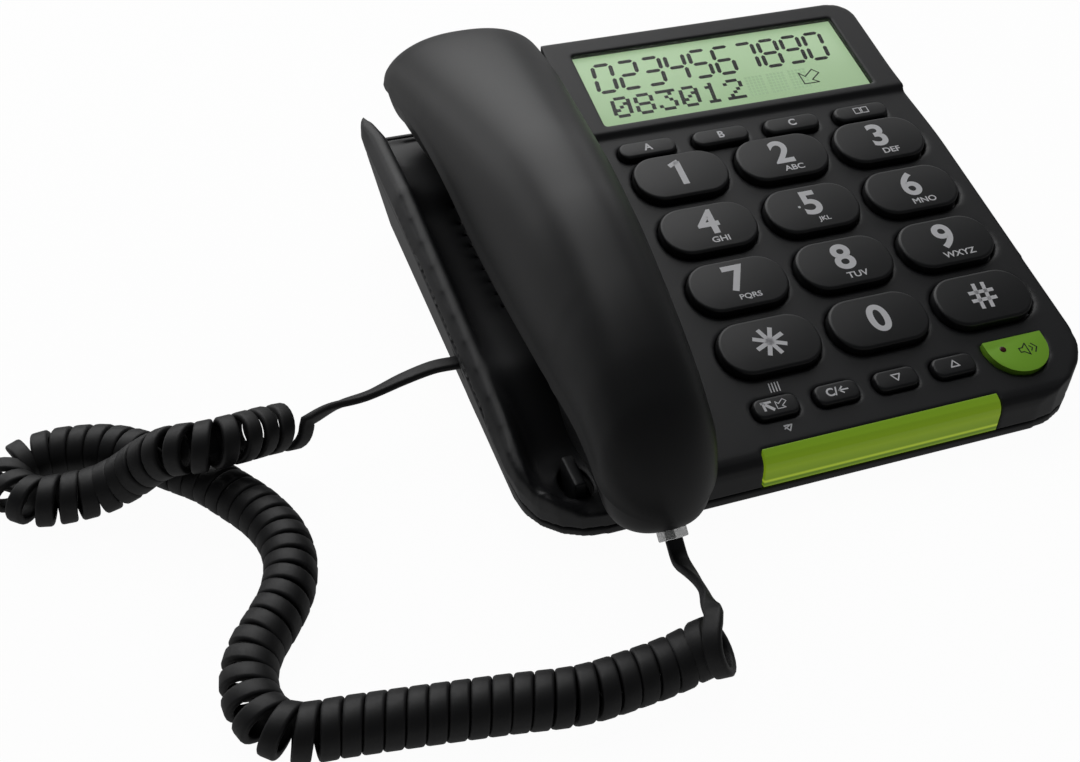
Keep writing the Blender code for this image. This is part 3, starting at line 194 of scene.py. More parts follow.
# Middle of the curls; a point without a height is at rest on the table
curl_route = [
    (-0.1475, -0.0245, 0.0150), (-0.1560, -0.0290, 0.0190), (-0.1650, -0.0345, 0.0232),
    (-0.1740, -0.0365, 0.0246), (-0.1830, -0.0335, 0.0228), (-0.1900, -0.0300, 0.0180),
    (-0.1975, -0.0272, 0.0115), (-0.2060, -0.0265, 0.0079), (-0.2155, -0.0268), (-0.2235, -0.0255),
    (-0.2296, -0.0200), (-0.2310, -0.0125), (-0.2262, -0.0072), (-0.2185, -0.0055), (-0.2110, -0.0062),
    (-0.2035, -0.0082), (-0.1965, -0.0120), (-0.1900, -0.0175), (-0.1835, -0.0240), (-0.1755, -0.0320),
    (-0.1690, -0.0410), (-0.1630, -0.0505), (-0.1590, -0.0600), (-0.1575, -0.0690), (-0.1585, -0.0780),
    (-0.1615, -0.0860), (-0.1660, -0.0930), (-0.1710, -0.1000), (-0.1742, -0.1080), (-0.1745, -0.1165),
    (-0.1712, -0.1245), (-0.1645, -0.1290), (-0.1530, -0.1308), (-0.1360, -0.1335), (-0.1150, -0.1370),
    (-0.0960, -0.1403), (-0.0790, -0.1398), (-0.0700, -0.1392, 0.0082), (-0.0640, -0.1390, 0.0098),
    (-0.0598, -0.1400, 0.0122), (-0.0552, -0.1425, 0.0150)]
base_tail = [(-0.1345, -0.0262, 0.0205), (-0.1235, -0.0245, 0.0205), (-0.1120, -0.0215, 0.0215),
             (-0.1020, -0.0197, 0.0222)]
handset_tail = [(-0.0570, -0.1265, 0.0172), (-0.0561, -0.1175, 0.0133), (-0.0553, -0.1105, 0.0098),
                (-0.0548, -0.1068, 0.0088)]
base_plug_face = np.array((-0.0918, -0.0195, 0.0220))
base_plug_way = np.array((-1.0, 0.0, 0.0))
socket_tilt = math.radians(38.0)
handset_plug_way = np.array((0.0, -math.cos(socket_tilt), -math.sin(socket_tilt)))
handset_plug_up = np.array((0.0, -math.sin(socket_tilt), math.cos(socket_tilt)))
handset_plug_mouth = np.array((-0.0545, -0.0970, 0.0151))
handset_plug_face = handset_plug_mouth + handset_plug_way * plug_reach


def smooth_line(points, step=0.0006):
    """Points a step apart on a smooth curve through the given ones."""
    rows = [np.array(point) for point in points]
    rows = [2 * rows[0] - rows[1]] + rows + [2 * rows[-1] - rows[-2]]
    fine = []
    for a, b, c, d in zip(rows, rows[1:], rows[2:], rows[3:]):
        count = max(2, int(np.linalg.norm(c - b) / step))
        for index in range(count):
            t = index / count
            fine.append(0.5 * (2 * b + (c - a) * t + (2 * a - 5 * b + 4 * c - d) * t ** 2
                               + (3 * b - a - 3 * c + d) * t ** 3))
    fine = np.array(fine + [rows[-2]])
    length = np.concatenate([[0.0], np.cumsum(np.linalg.norm(np.diff(fine, axis=0), axis=1))])
    even = np.linspace(0.0, length[-1], max(3, int(length[-1] / step)))
    return np.stack([np.interp(even, length, fine[:, axis]) for axis in range(3)], axis=1), even


def wind_curls():
    """Middle, width axis and thickness axis of the cord all along its curls."""
    centre, even = smooth_line([(*point, curl_rest)[:3] for point in curl_route])
    step = even[1]
    tangent = np.gradient(centre, axis=0)
    tangent /= np.linalg.norm(tangent, axis=1)[:, None]
    span = int(2 * curl_radius / step)
    bend = np.linalg.norm(np.gradient(tangent, axis=0), axis=1) / step
    bend = np.convolve(np.pad(bend, span, mode="edge"), np.ones(span) / span, mode="same")[span:-span]
    pitch = (cord_width + curl_gap) / np.clip(1 - 0.35 * curl_radius * bend, 0.75, 1.0)
    pitch *= 1 + loose_share * np.exp(-(even / loose_run) ** 2)
    turns = np.concatenate([[0.0], np.cumsum(step / pitch)])[:-1]
    count = int(turns[-1] * curl_points)
    count -= (count - int(0.80 * curl_points)) % curl_points
    places = np.interp(np.arange(count + 1) / curl_points, turns, even)
    rows = []
    for index, place in enumerate(places):
        here = np.array([np.interp(place, even, centre[:, axis]) for axis in range(3)])
        ahead = np.array([np.interp(place, even, tangent[:, axis]) for axis in range(3)])
        ahead /= np.linalg.norm(ahead)
        side = np.cross(ahead, (0.0, 0.0, 1.0))
        side /= np.linalg.norm(side)
        angle = math.pi / 2 - 2 * math.pi * (count - index) / curl_points
        out = side * math.cos(angle) + np.cross(side, ahead) * math.sin(angle)
        spread = end_spread * max(1 - (count - index) / (curl_points * end_curls), 0.0)
        rows.append((here + out * (curl_radius - cord_thickness / 2 + spread), ahead, out))
    return rows


def ease(share):
    """Runs from 0 to 1 with a soft start and end."""
    return share * share * (3 - 2 * share)


def lay_tail(end, before, route, face, way, wide, upright=None):
    """The flat cord from the last curl to a plug. It turns its width on the way, past upright if given."""
    start, across_start, out_start = end
    onward = start - before[0]
    onward -= across_start * np.dot(onward, across_start)
    onward /= np.linalg.norm(onward)
    line, _ = smooth_line([start + onward * 0.0030] + route + [face + way * 0.0026], 0.0012)
    line = np.concatenate([[start + onward * 0.0015], line, [face]])
    if np.dot(wide, across_start) < 0:
        wide = -wide
    tangent = np.gradient(line, axis=0)
    tangent[0] = onward
    tangent[-1] = -way
    rows = []
    flip = None
    for index, here in enumerate(line):
        ahead = tangent[index] / np.linalg.norm(tangent[index])
        share = index / (len(line) - 1)
        first, last, part = across_start, wide, share
        if upright is not None and share < turn_share:
            last, part = upright, share / turn_share
        elif upright is not None:
            first, part = upright, (share - turn_share) / (1 - turn_share)
        across = first * (1 - ease(part)) + last * ease(part)
        across -= ahead * np.dot(across, ahead)
        across /= np.linalg.norm(across)
        out = np.cross(ahead, across)
        flip = flip or (1.0 if np.dot(out, out_start) > 0 else -1.0)
        rows.append((here, across, out * flip))
    return rows


def sweep(rows, width, thickness):
    """Closed tube with a flat rounded section along the rows."""
    corner = min(width, thickness) * 0.38
    section = []
    for turn, a, b in ((0, 1, 1), (1, -1, 1), (2, -1, -1), (3, 1, -1)):
        for step in (0, 30, 60, 90):
            angle = math.radians(90 * turn + step)
            section.append((a * (width / 2 - corner) + corner * math.cos(angle),
                            b * (thickness / 2 - corner) + corner * math.sin(angle)))
    tube = bmesh.new()
    bmesh.ops.create_grid(tube, x_segments=len(section), y_segments=len(rows) - 1, size=0.5)
    for vert in tube.verts:
        column = round((vert.co.x + 0.5) * len(section)) % len(section)
        here, across, out = rows[round((vert.co.y + 0.5) * (len(rows) - 1))]
        vert.co = here + across * section[column][0] + out * section[column][1]
    bmesh.ops.remove_doubles(tube, verts=tube.verts, dist=1e-7)
    bmesh.ops.holes_fill(tube, edges=[edge for edge in tube.edges if edge.is_boundary])
    bmesh.ops.recalc_face_normals(tube, faces=tube.faces)
    return tube


def new_material(name, values):
    """A material, its node tree and its shader, whose inputs have the given values."""
    material = bpy.data.materials.new(name)
    material.use_nodes = True
    shader = material.node_tree.nodes["Principled BSDF"]
    for key, value in values.items():
        shader.inputs[key].default_value = value
    return material, material.node_tree, shader


def plastic(name, code, roughness, cell, depth, spread=0.07):
    """A moulded or extruded plastic: its colour, and a fine grain that varies its gloss and relief."""
    material, tree, shader = new_material(name, {"Base Color": linear(code), "IOR": 1.52})
    place = add_node(tree, "ShaderNodeTexCoord")
    noise = add_node(tree, "ShaderNodeTexNoise", {"Scale": 1 / cell, "Detail": 3.0}, {
        "Vector": place.outputs["Object"]})
    gloss = add_node(tree, "ShaderNodeMapRange", {
        "To Min": roughness - spread, "To Max": roughness + spread}, {"Value": noise.outputs["Fac"]})
    bump = add_node(tree, "ShaderNodeBump", {"Strength": 0.4, "Distance": depth}, {
        "Height": noise.outputs["Fac"]})
    tree.links.new(gloss.outputs["Result"], shader.inputs["Roughness"])
    tree.links.new(bump.outputs["Normal"], shader.inputs["Normal"])
    return material


cord_pvc = plastic("cord_pvc", "#0e0e10", 0.56, 0.0012, 0.00003)
curls = wind_curls()
near = lay_tail(curls[0], curls[1], [np.array(p) for p in base_tail],
                base_plug_face, base_plug_way, np.array((0.0, 1.0, 0.0)))
far = lay_tail(curls[-1], curls[-2], [np.array(p) for p in handset_tail],
               handset_plug_face, handset_plug_way, np.array((1.0, 0.0, 0.0)), strap_upright)
rows = near[::-1] + curls + far
cord = shade_smooth(new_piece(
    "handset_cord", sweep(rows, cord_width, cord_thickness), cord_pvc, "base",
    "cord_tail_base", "cord_coil", "cord_tail_handset"), 60)

# Plugs of the cord
# Clear polycarbonate modular plugs, moulded, with a springy latch tab and four gilt contacts pressed in.


def add_block(builder, centre, size):
    """A box in the mesh, placed by its centre and sizes."""
    place = Matrix.Translation(centre) @ Matrix.Diagonal((*size, 1.0))
    return bmesh.ops.create_cube(builder, size=1.0, matrix=place)["verts"]


def round_edges(builder, edges, offset, segments=3):
    return bmesh.ops.bevel(
        builder, geom=edges, offset=offset, offset_type="OFFSET", segments=segments, profile=0.5,
        affect="EDGES", material=-1, clamp_overlap=True)


def clear_plastic(name, code, alpha, roughness):
    """Clear moulded plastic: a faint tint and a glossy skin, seen through."""
    return new_material(name, {
        "Base Color": linear(code), "Roughness": roughness, "IOR": 1.58, "Alpha": alpha})[0]


def metal(name, code, roughness):
    """Bright plated metal with slightly uneven polish."""
    material = plastic(name, code, roughness, 0.0010, 0.00001, 0.05)
    material.node_tree.nodes["Principled BSDF"].inputs["Metallic"].default_value = 1.0
    return material


plug_clear = clear_plastic("plug_polycarbonate", "#c9cdc8", 0.55, 0.12)
gilt = metal("gilt_contact", "#d9a84e", 0.25)
plug_width, plug_tall, plug_length, contact_pitch = 0.0076, 0.0058, 0.0120, 0.00102


def make_plug(name, face, way, up, body, node):
    """A plug whose outer end is at face, and which goes into its socket against its way."""
    way, up = Vector(way), Vector(up)
    side = way.cross(up)
    axes = Matrix((side, way, up)).transposed().to_4x4()
    place = Matrix.Translation(Vector(face)) @ axes
    shell = bmesh.new()
    add_block(shell, (0, -plug_length / 2, 0), (plug_width, plug_length - 0.0002, plug_tall - 0.0004))
    round_edges(shell, shell.edges[:], 0.0004)
    tab = add_block(shell, (0, -0.0048, -plug_tall / 2 + 0.0006), (0.0030, 0.0090, 0.0006))
    round_edges(shell, list({edge for vert in tab for edge in vert.link_edges}), 0.0002, 2)
    shell.transform(place)
    plug = shade_smooth(new_piece(name, shell, plug_clear, body, node), 40)
    pins = bmesh.new()
    for index in range(4):
        x = (index - 1.5) * contact_pitch
        add_block(pins, (x, -plug_length + 0.0016, plug_tall / 2 - 0.0016), (0.0003, 0.0026, 0.0022))
    pins.transform(place)
    contacts = new_piece(name + "_contacts", pins, gilt, body)
    return [plug, contacts]


low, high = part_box("cord_plug_base")
plug_face = (low.x, (low.y + high.y) / 2, (low.z + high.z) / 2)
plugs = make_plug("cord_plug_at_base", plug_face, (-1, 0, 0), (0, 0, 1), "base", "cord_plug_base")
plugs += make_plug("cord_plug_at_handset", handset_plug_face, handset_plug_way, handset_plug_up,
                   "handset", "cord_plug_handset")

# Housings
# Two shells of charcoal ABS, injection moulded in spark-eroded tools that leave an even matte grain and a
# slight radius on every edge, and screwed together from below.

face_tilt = math.radians(15.5)
face = Matrix.Translation((0.0375, -0.01375, 0.0365)) @ Matrix.Rotation(face_tilt, 4, "X")
base_left, base_front, underside, wall_lean_share, front_corner = 0.0895, 0.0865, 0.0021, 0.21, 0.022
rim_steps, rim_start, rim_front_height, roll_height = 190, -0.085, 0.0165, 0.0060
rim_lean, side_swell = 0.0036, 0.0022
matte_abs = plastic("matte_abs", "#121316", 0.50, 0.00035, 0.00004)


def melt(name, node, body, material, cell, tilt=0.0, passes=4):
    """A CAD shell's copy rebuilt on a fine even mesh, with its edges smoothed round."""
    shell = bmesh.new()
    shell.from_mesh(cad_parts[node].data)
    bmesh.ops.remove_doubles(shell, verts=shell.verts, dist=1e-5)
    shell.transform(Matrix.Rotation(-tilt, 4, "X"))
    piece = new_piece(name, shell, material, body, node)
    modify(piece, "REMESH", mode="VOXEL", voxel_size=cell)
    modify(piece, "SMOOTH", factor=0.5, iterations=passes)
    settle(piece)
    piece.data.transform(Matrix.Rotation(tilt, 4, "X"))
    return piece


def soften(piece, passes, amount):
    """More smoothing where the amount, from 0 to 1, of a point of the piece is above 0."""
    group = piece.vertex_groups.new(name="soft")
    for vert in piece.data.vertices:
        share = amount(vert.co)
        if share > 0:
            group.add([vert.index], min(share, 1.0), "REPLACE")
    modify(piece, "SMOOTH", factor=0.5, iterations=passes, vertex_group="soft")
    settle(piece)
    piece.vertex_groups.clear()


def thin_out(piece, most):
    """Drops the points that flat places don't need, to the most triangles wanted, and shades it smooth."""
    modify(piece, "DECIMATE", ratio=min(1.0, most / (2 * len(piece.data.polygons))))
    settle(piece)
    piece.data.shade_smooth()
    return piece


def face_edges(point):
    """Rear and right edges of the face, which have a larger radius."""
    if point.x <= -0.030 or not -0.007 <= (face.inverted() @ point).z <= 0.004:
        return 0.0
    return max((point.x - 0.0895) / 0.002, (point.y - 0.0945) / 0.002)


def trough_floor(point):
    """The trough's floor, whose steps run softly into each other and into the walls."""
    if point.x > -0.037 or abs(point.y) > 0.078 or not 0.008 < point.z < 0.0405:
        return 0.0
    return (point.x + 0.0880) / 0.0030


def clamp(share):
    return max(0.0, min(1.0, share))


def rim_inset(point):
    """Distance in from the base's left or front wall, whose corner has a radius."""
    side = point.x + base_left + wall_lean_share * (point.z - underside)
    ahead = point.y + base_front
    if side < front_corner and ahead < front_corner:
        return front_corner - math.hypot(front_corner - side, front_corner - ahead)
    return min(side, ahead)


def rim_step(y):
    return max(0, min(rim_steps - 1, round((y - rim_start) * 1000)))


def rim_line(piece):
    """Height of the cradle's rim in steps of 1 mm along y, from the front to the rear."""
    heights = [rim_front_height] * rim_steps
    for vert in piece.data.vertices:
        point = vert.co
        if point.x < -0.060 and -0.080 < point.y < 0.090 and rim_inset(point) < 0.0040:
            step = rim_step(point.y)
            heights[step] = max(heights[step], point.z)
    ends = [step for step, height in enumerate(heights) if height > rim_front_height + 0.0001]
    for step in range(ends[-1], rim_steps):
        heights[step] = heights[ends[-1]]
    return heights


def rim_roll(point):
    """The cradle's rim, which is round on the outside and rolls into the trough."""
    if point.x > -0.040 or point.y > 0.096 or point.z < 0.009:
        return 0.0
    inset = rim_inset(point)
    low = rim_heights[rim_step(point.y)] - roll_height
    if inset < 0.014 and point.z > low:
        return (point.z - low) / 0.0020
    return min((inset - 0.0035) / 0.0012, (0.0160 - inset) / 0.0030)


def lean_rim(piece):
    """Leans the rim's outer side in above the seam, and sets the trough's left wall in by as much."""
    for vert in piece.data.vertices:
        point = vert.co
        if point.x > -0.060 or point.y > 0.100 or point.z < 0.009:
            continue
        inset = rim_inset(point)
        low = rim_heights[rim_step(point.y)] - roll_height
        outside = clamp((point.z - low) / roll_height)
        inside = clamp((inset - 0.0015) / 0.0015)
        near = clamp((0.0200 - inset) / 0.0120)
        along = clamp(min((0.098 - point.y) / 0.020, (point.y + 0.084) / 0.030))
        point.x += rim_lean * max(outside, inside) * near * along


def swell_side(piece):
    """The right side's slight outward curve between the display panel and the front corner."""
    for vert in piece.data.vertices:
        point = vert.co
        across = clamp((point.x - 0.080) / 0.016)
        along = clamp(min((0.062 - point.y) / 0.045, (point.y + 0.100) / 0.030))
        point.x += side_swell * across * across * ease(along)


upper = melt("upper_case", "upper_housing", "base", matte_abs, 0.0006, face_tilt)
soften(upper, 10, face_edges)
rim_heights = rim_line(upper)
lean_rim(upper)
swell_side(upper)
soften(upper, 60, rim_roll)
soften(upper, 450, trough_floor)
thin_out(upper, 185000)
lower = melt("lower_case", "lower_housing", "base", matte_abs, 0.0008)
swell_side(lower)
thin_out(lower, 100000)

# Handset
# Two moulded halves of satin ABS snapped together: an outer back, which laps over the inner half by a
# thin lip, and the inner half, which faces the cheek.

satin_abs = plastic("satin_abs", "#0f1012", 0.46, 0.00050, 0.00002, 0.04)
handset_x, handset_rear, handset_length = -0.0575, 0.1072, 0.2146
crown, shelf, half_width = 0.0885, 0.0380, 0.0285
squareness, squareness_below = 2.35, 2.8
lip_flare, lip_share = 0.0007, 0.10
top_line = [
    (0.0, 0.745), (0.02, 0.818), (0.048, 0.877), (0.1045, 0.930), (0.2175, 0.966), (0.359, 0.989),
    (0.500, 1.0), (0.641, 0.9585), (0.7825, 0.852), (0.877, 0.749), (0.933, 0.650), (1.0, 0.493)]
seam_share_line = [
    (0.0, 0.6111), (0.02, 0.5264), (0.048, 0.529), (0.065, 0.5324), (0.1045, 0.5138), (0.16, 0.4996),
    (0.1985, 0.4921), (0.2175, 0.4695), (0.246, 0.4048), (0.28, 0.3366), (0.312, 0.2815),
    (0.359, 0.2378), (0.41, 0.1952), (0.453, 0.1577), (0.5, 0.1391), (0.5706, 0.1523), (0.641, 0.1696),
    (0.688, 0.1986), (0.72, 0.2381), (0.759, 0.3105), (0.7825, 0.3954), (0.8107, 0.4651),
    (0.84, 0.4736), (0.877, 0.4835), (0.905, 0.4716), (0.933, 0.4471), (0.965, 0.4291), (1.0, 0.4059)]
bottom_line = [
    (0.0, 1.2441), (0.03, 1.122), (0.065, 1.0094), (0.1985, 1.0012), (0.246, 1.1573), (0.312, 1.2629),
    (0.453, 1.1972), (0.5706, 1.0516), (0.688, 0.8943), (0.759, 0.6807), (0.8107, 0.3157), (1.0, 0.3157)]
width_line = [
    (0.0, 0.985), (0.048, 1.020), (0.1045, 0.998), (0.2175, 0.942), (0.359, 0.874), (0.500, 0.8175),
    (0.641, 0.751), (0.7825, 0.677), (0.877, 0.625), (0.933, 0.611), (1.0, 0.611)]


def on_line(line, share):
    """Smooth value of a line of (share, value) that never overshoots its points."""
    places = [row[0] for row in line]
    values = [row[1] for row in line]
    slopes = [(b - a) / (q - p) for p, q, a, b in zip(places, places[1:], values, values[1:])]
    bends = [slopes[0]]
    for before, after in zip(slopes, slopes[1:]):
        bends.append(0.0 if before * after <= 0 else 2 * before * after / (before + after))
    bends.append(slopes[-1])
    index = max(0, min(len(slopes) - 1, sum(share >= place for place in places) - 1))
    span = places[index + 1] - places[index]
    t = (share - places[index]) / span
    return ((2 * t + 1) * (1 - t) ** 2 * values[index] + t * (1 - t) ** 2 * span * bends[index]
            + t * t * (3 - 2 * t) * values[index + 1] - t * t * (1 - t) * span * bends[index + 1])


def end_round(share, rear_share, front_share):
    if share < rear_share:
        return math.sqrt(max(0.0, 1 - (1 - share / rear_share) ** 2))
    if share > 1 - front_share:
        return math.sqrt(max(0.0, 1 - (1 - (1 - share) / front_share) ** 2))
    return 1.0


def handset_point(share, turn, inset):
    """Point of the handset's skin; turn is 0 at the right seam, 0.5 at the left one and below after it."""
    high = crown * on_line(top_line, share)
    low = shelf * on_line(bottom_line, share)
    middle = low + (high - low) * on_line(seam_share_line, share)
    scale = end_round(share, 0.060, 0.072)
    fade = clamp(min(share / 0.08, (1 - share) / 0.12))
    inset *= 0.25 + 0.75 * fade
    up = max((high - middle) * scale - inset, 0.0)
    down = max((middle - low) * scale - inset, 0.0)
    half = max(half_width * on_line(width_line, share) * end_round(share, 0.034, 0.072) - inset, 0.0)
    c, s = math.cos(2 * math.pi * turn), math.sin(2 * math.pi * turn)
    half += fade * lip_flare * max(0.0, 1 - abs(s) / lip_share) ** 2 if s > 0 else 0.0
    corner = squareness if s > 0 else squareness_below
    x = half * math.copysign(abs(c) ** (2 / corner), c)
    z = (up if s > 0 else down) * math.copysign(abs(s) ** (2 / corner), s)
    return Vector((handset_x + x, handset_rear - share * handset_length, middle + z))


def handset_skin(first, last, inset, rings=150, columns=72):
    """Half of the handset's skin between two turns, with rings close together at its ends."""
    skin = bmesh.new()
    bmesh.ops.create_grid(skin, x_segments=columns, y_segments=rings, size=0.5)
    for vert in skin.verts:
        u = vert.co.x + 0.5
        v = vert.co.y + 0.5
        share = 0.45 * (0.5 - 0.5 * math.cos(math.pi * v)) + 0.55 * ease(v)
        share = clamp(share * share if v < 0.02 else share)
        swing = math.cos(math.pi * u)
        turn = first + (last - first) * (0.5 - 0.5 * swing * (0.7 + 0.3 * abs(swing)))
        vert.co = handset_point(share, turn, inset)
    bmesh.ops.remove_doubles(skin, verts=skin.verts, dist=1e-6)
    bmesh.ops.dissolve_degenerate(skin, edges=skin.edges, dist=1e-7)
    bmesh.ops.recalc_face_normals(skin, faces=skin.faces)
    return skin


def handset_half(name, first, last, inset, node):
    """One half as a wall of even thickness with a rounded rim."""
    piece = new_piece(name, handset_skin(first, last, inset), satin_abs, "handset", node)
    modify(piece, "SOLIDIFY", thickness=0.0020, offset=-1.0)
    modify(piece, "BEVEL", width=0.0007, segments=3, angle_limit=math.radians(60))
    return shade_smooth(settle(piece), 50)


back = handset_half("handset_back", 0.0, 0.5, 0.0, "handset_outer_shell")
front = handset_half("handset_front", 0.5, 1.0, 0.0018, "handset_inner_shell")

# Keys
# Hard ABS caps, double-shot green for the speaker key and black for the rest, moulded with soft upper edges.
# They ride on a silicone mat and carry pad-printed light grey figures.

key_abs = plastic("key_abs", "#131416", 0.42, 0.00030, 0.00002, 0.05)
lime_abs = plastic("lime_abs", "#93cf3a", 0.34, 0.00050, 0.00001, 0.04)
grey_ink = plastic("grey_ink", "#efeff2", 0.55, 0.00040, 0.00001, 0.04)
dark_ink = plastic("dark_ink", "#16240a", 0.55, 0.00040, 0.00001, 0.04)
flange = 0.0006


def key_cap(width, depth, near_corner, far_corner, height, edge):
    """A key with its flange below the housing's face and a flat top with a rounded edge."""
    cap = bmesh.new()
    add_block(cap, (0, 0, -0.0034), (width + 2 * flange, depth + 2 * flange, 0.0012))
    for end, corner in ((-1, near_corner), (1, far_corner)):
        upright = [e for e in cap.edges if abs(e.verts[0].co.z - e.verts[1].co.z) > 0.001
                   and e.verts[0].co.y * end > 0 and abs(abs(e.verts[0].co.x) - width / 2) < 0.0007]
        round_edges(cap, upright, corner + flange, 10)
    top = max(cap.faces, key=lambda f: f.calc_center_median().z)
    bmesh.ops.inset_region(cap, faces=[top], thickness=flange, use_even_offset=True)
    top = bmesh.ops.extrude_discrete_faces(cap, faces=[top])["faces"][0]
    bmesh.ops.translate(cap, verts=top.verts, vec=(0, 0, height + 0.0028))
    round_edges(cap, list(top.edges), edge, 6)
    return cap


def flat_text(text, height, x, y, bold=0.0, font_width=1.0):
    """Letters as a flat mesh of the given height, centred on (x, y)."""
    line = bpy.data.curves.new("line", "FONT")
    line.body = text
    line.bevel_depth = bold
    line.bevel_resolution = 0
    line.fill_mode = "FRONT"
    item = bpy.data.objects.new("line", line)
    mesh = item.to_mesh()
    sheet = bmesh.new()
    sheet.from_mesh(mesh)
    item.to_mesh_clear()
    bpy.data.objects.remove(item)
    low = [min(vert.co[axis] for vert in sheet.verts) for axis in range(2)]
    high = [max(vert.co[axis] for vert in sheet.verts) for axis in range(2)]
    scale = height / (high[1] - low[1])
    sheet.transform(Matrix.Translation((-(low[0] + high[0]) / 2, -(low[1] + high[1]) / 2, 0)))
    sheet.transform(Matrix.Diagonal((scale * font_width, scale, 0.0, 1.0)))
    sheet.transform(Matrix.Translation((x, y, 0)))
    return sheet


def strokes(lines, width, x=0.0, y=0.0, scale=0.001):
    """Straight strokes of ink along each line of points, which are scaled and then moved by (x, y)."""
    ink = bmesh.new()
    for line in lines:
        line = [(x + px * scale, y + py * scale) for px, py in line]
        for (ax, ay), (bx, by) in zip(line, line[1:]):
            length = math.hypot(bx - ax, by - ay)
            turn = Matrix.Translation(((ax + bx) / 2, (ay + by) / 2, 0)) @ Matrix.Rotation(
                math.atan2(by - ay, bx - ax), 4, "Z")
            bmesh.ops.create_grid(
                ink, x_segments=1, y_segments=1, size=0.5,
                matrix=turn @ Matrix.Diagonal((length + width * 0.7, width, 1, 1)))
    return ink


def lay_print(name, sheets, lift, ink, body, place=face):
    """All sheets as one piece of ink, lifted to the surface they are printed on."""
    whole = bmesh.new()
    for sheet in sheets:
        mesh = bpy.data.meshes.new("sheet")
        sheet.to_mesh(mesh)
        sheet.free()
        whole.from_mesh(mesh)
        bpy.data.meshes.remove(mesh)
    whole.transform(Matrix.Translation((0, 0, lift)))
    whole.transform(place)
    new_piece(name, whole, ink, body)


bent_arrow = [(-2.0, 1.6), (-2.0, -1.6), (1.2, -1.6), (0.1, -0.7), (2.2, 0.9), (1.1, 2.1), (-1.0, 0.4),
              (-2.0, 1.6)]
open_book = [[(-1.8, -0.9), (-1.8, 0.9), (-0.2, 0.9), (-0.2, -0.9), (-1.8, -0.9)],
             [(0.2, -0.9), (0.2, 0.9), (1.8, 0.9), (1.8, -0.9), (0.2, -0.9)], [(-0.2, -0.9), (0.2, -0.9)]]
triangle = [(-1.3, -0.9), (1.3, -0.9), (0.0, 1.1), (-1.3, -0.9)]
horn = [[(-1.8, -0.6), (-0.8, -0.6), (0.4, -1.7), (0.4, 1.7), (-0.8, 0.6), (-1.8, 0.6), (-1.8, -0.6)],
        [(1.2, -0.7), (1.8, 0.0), (1.2, 0.7)], [(2.0, -1.3), (3.0, 0.0), (2.0, 1.3)]]
letters = {"2": "ABC", "3": "DEF", "4": "GHI", "5": "JKL", "6": "MNO", "7": "PQRS", "8": "TUV", "9": "WXYZ"}


def dial_print(sign):
    if sign == "star":
        arms = [[(-5.0 * math.cos(a), -5.0 * math.sin(a)), (5.0 * math.cos(a), 5.0 * math.sin(a))]
                for a in (math.radians(22.5 + 45 * turn) for turn in range(4))]
        return [strokes(arms, 0.0015, 0, 0.0004)]
    if sign == "hash":
        bars = [[(-4.0, 1.6), (4.3, 1.6)], [(-4.3, -1.6), (4.0, -1.6)], [(-1.1, 4.7), (-2.3, -4.7)],
                [(2.3, 4.7), (1.1, -4.7)]]
        return [strokes(bars, 0.0014, 0, 0.0004)]
    height = 0.0 if sign in "10" else 0.0015
    sheets = [flat_text("6" if sign == "9" else sign, 0.0108, 0.0, 0.0, 0.026, 1.05)]
    if sign == "9":
        sheets[0].transform(Matrix.Rotation(math.pi, 4, "Z"))
    sheets[0].transform(Matrix.Translation((0.0, 0.0004 + height, 0.0)))
    if sign == "1":
        sheets.append(strokes([[(-2.6, 4.0), (0.2, 5.3)]], 0.0017, 0, 0.0004))
    if sign in letters:
        sheets.append(flat_text(letters[sign], 0.0025, 0.0018, -0.0060, 0.020, 1.15))
    if sign == "5":
        dot = bmesh.new()
        bmesh.ops.create_circle(dot, cap_ends=True, segments=16, radius=0.0005)
        dot.transform(Matrix.Translation((-0.0048, 0.0008, 0)))
        sheets.append(dot)
    return sheets


def make_key(node, x, s, sizes, sheets, material=key_abs, ink=grey_ink):
    """A key cap on its own body, with its print just above its top."""
    place = face @ Matrix.Translation((x, s, 0))
    cap = key_cap(*sizes)
    cap.transform(place)
    shade_smooth(new_piece(node + "_cap", cap, material, node, node), 40)
    lay_print(node + "_print", sheets, sizes[4] + 0.00003, ink, node, place)


# Width, depth, radius of the near and of the far corners, height and edge of each kind of key
dial_sizes = (0.0340, 0.0200, 0.0092, 0.0092, 0.0030, 0.0011)
memory_sizes = (0.0212, 0.0074, 0.0034, 0.0034, 0.0024, 0.0012)
function_sizes = (0.0148, 0.0072, 0.0028, 0.0028, 0.0018, 0.0010)
speaker_sizes = (0.0215, 0.0136, 0.0105, 0.0016, 0.0016, 0.0010)
column_pitch, row_pitch, rows_middle_s = 0.0385, 0.0250, 0.0006
memory_x, memory_pitch, memory_s = -0.0451, 0.0280, 0.0534
function_x, function_pitch, function_s = -0.0458, 0.0206, -0.0586
speaker_x, speaker_s = 0.0398, -0.0602
for index, sign in enumerate(["1", "2", "3", "4", "5", "6", "7", "8", "9", "star", "0", "hash"]):
    row, column = divmod(index, 3)
    make_key("dial_key_" + sign, (column - 1) * column_pitch, rows_middle_s + (1.5 - row) * row_pitch,
             dial_sizes, dial_print(sign))
book_print = [strokes(open_book, 0.0004, 0, 0.0003, 0.0015)]
memory_prints = [("memory_key_" + sign.lower(), [flat_text(sign, 0.0032, 0, 0.0002, 0.03)])
                 for sign in "ABC"]
for index, (node, sheets) in enumerate(memory_prints + [("phonebook_key", book_print)]):
    make_key(node, memory_x + index * memory_pitch, memory_s, memory_sizes, sheets)
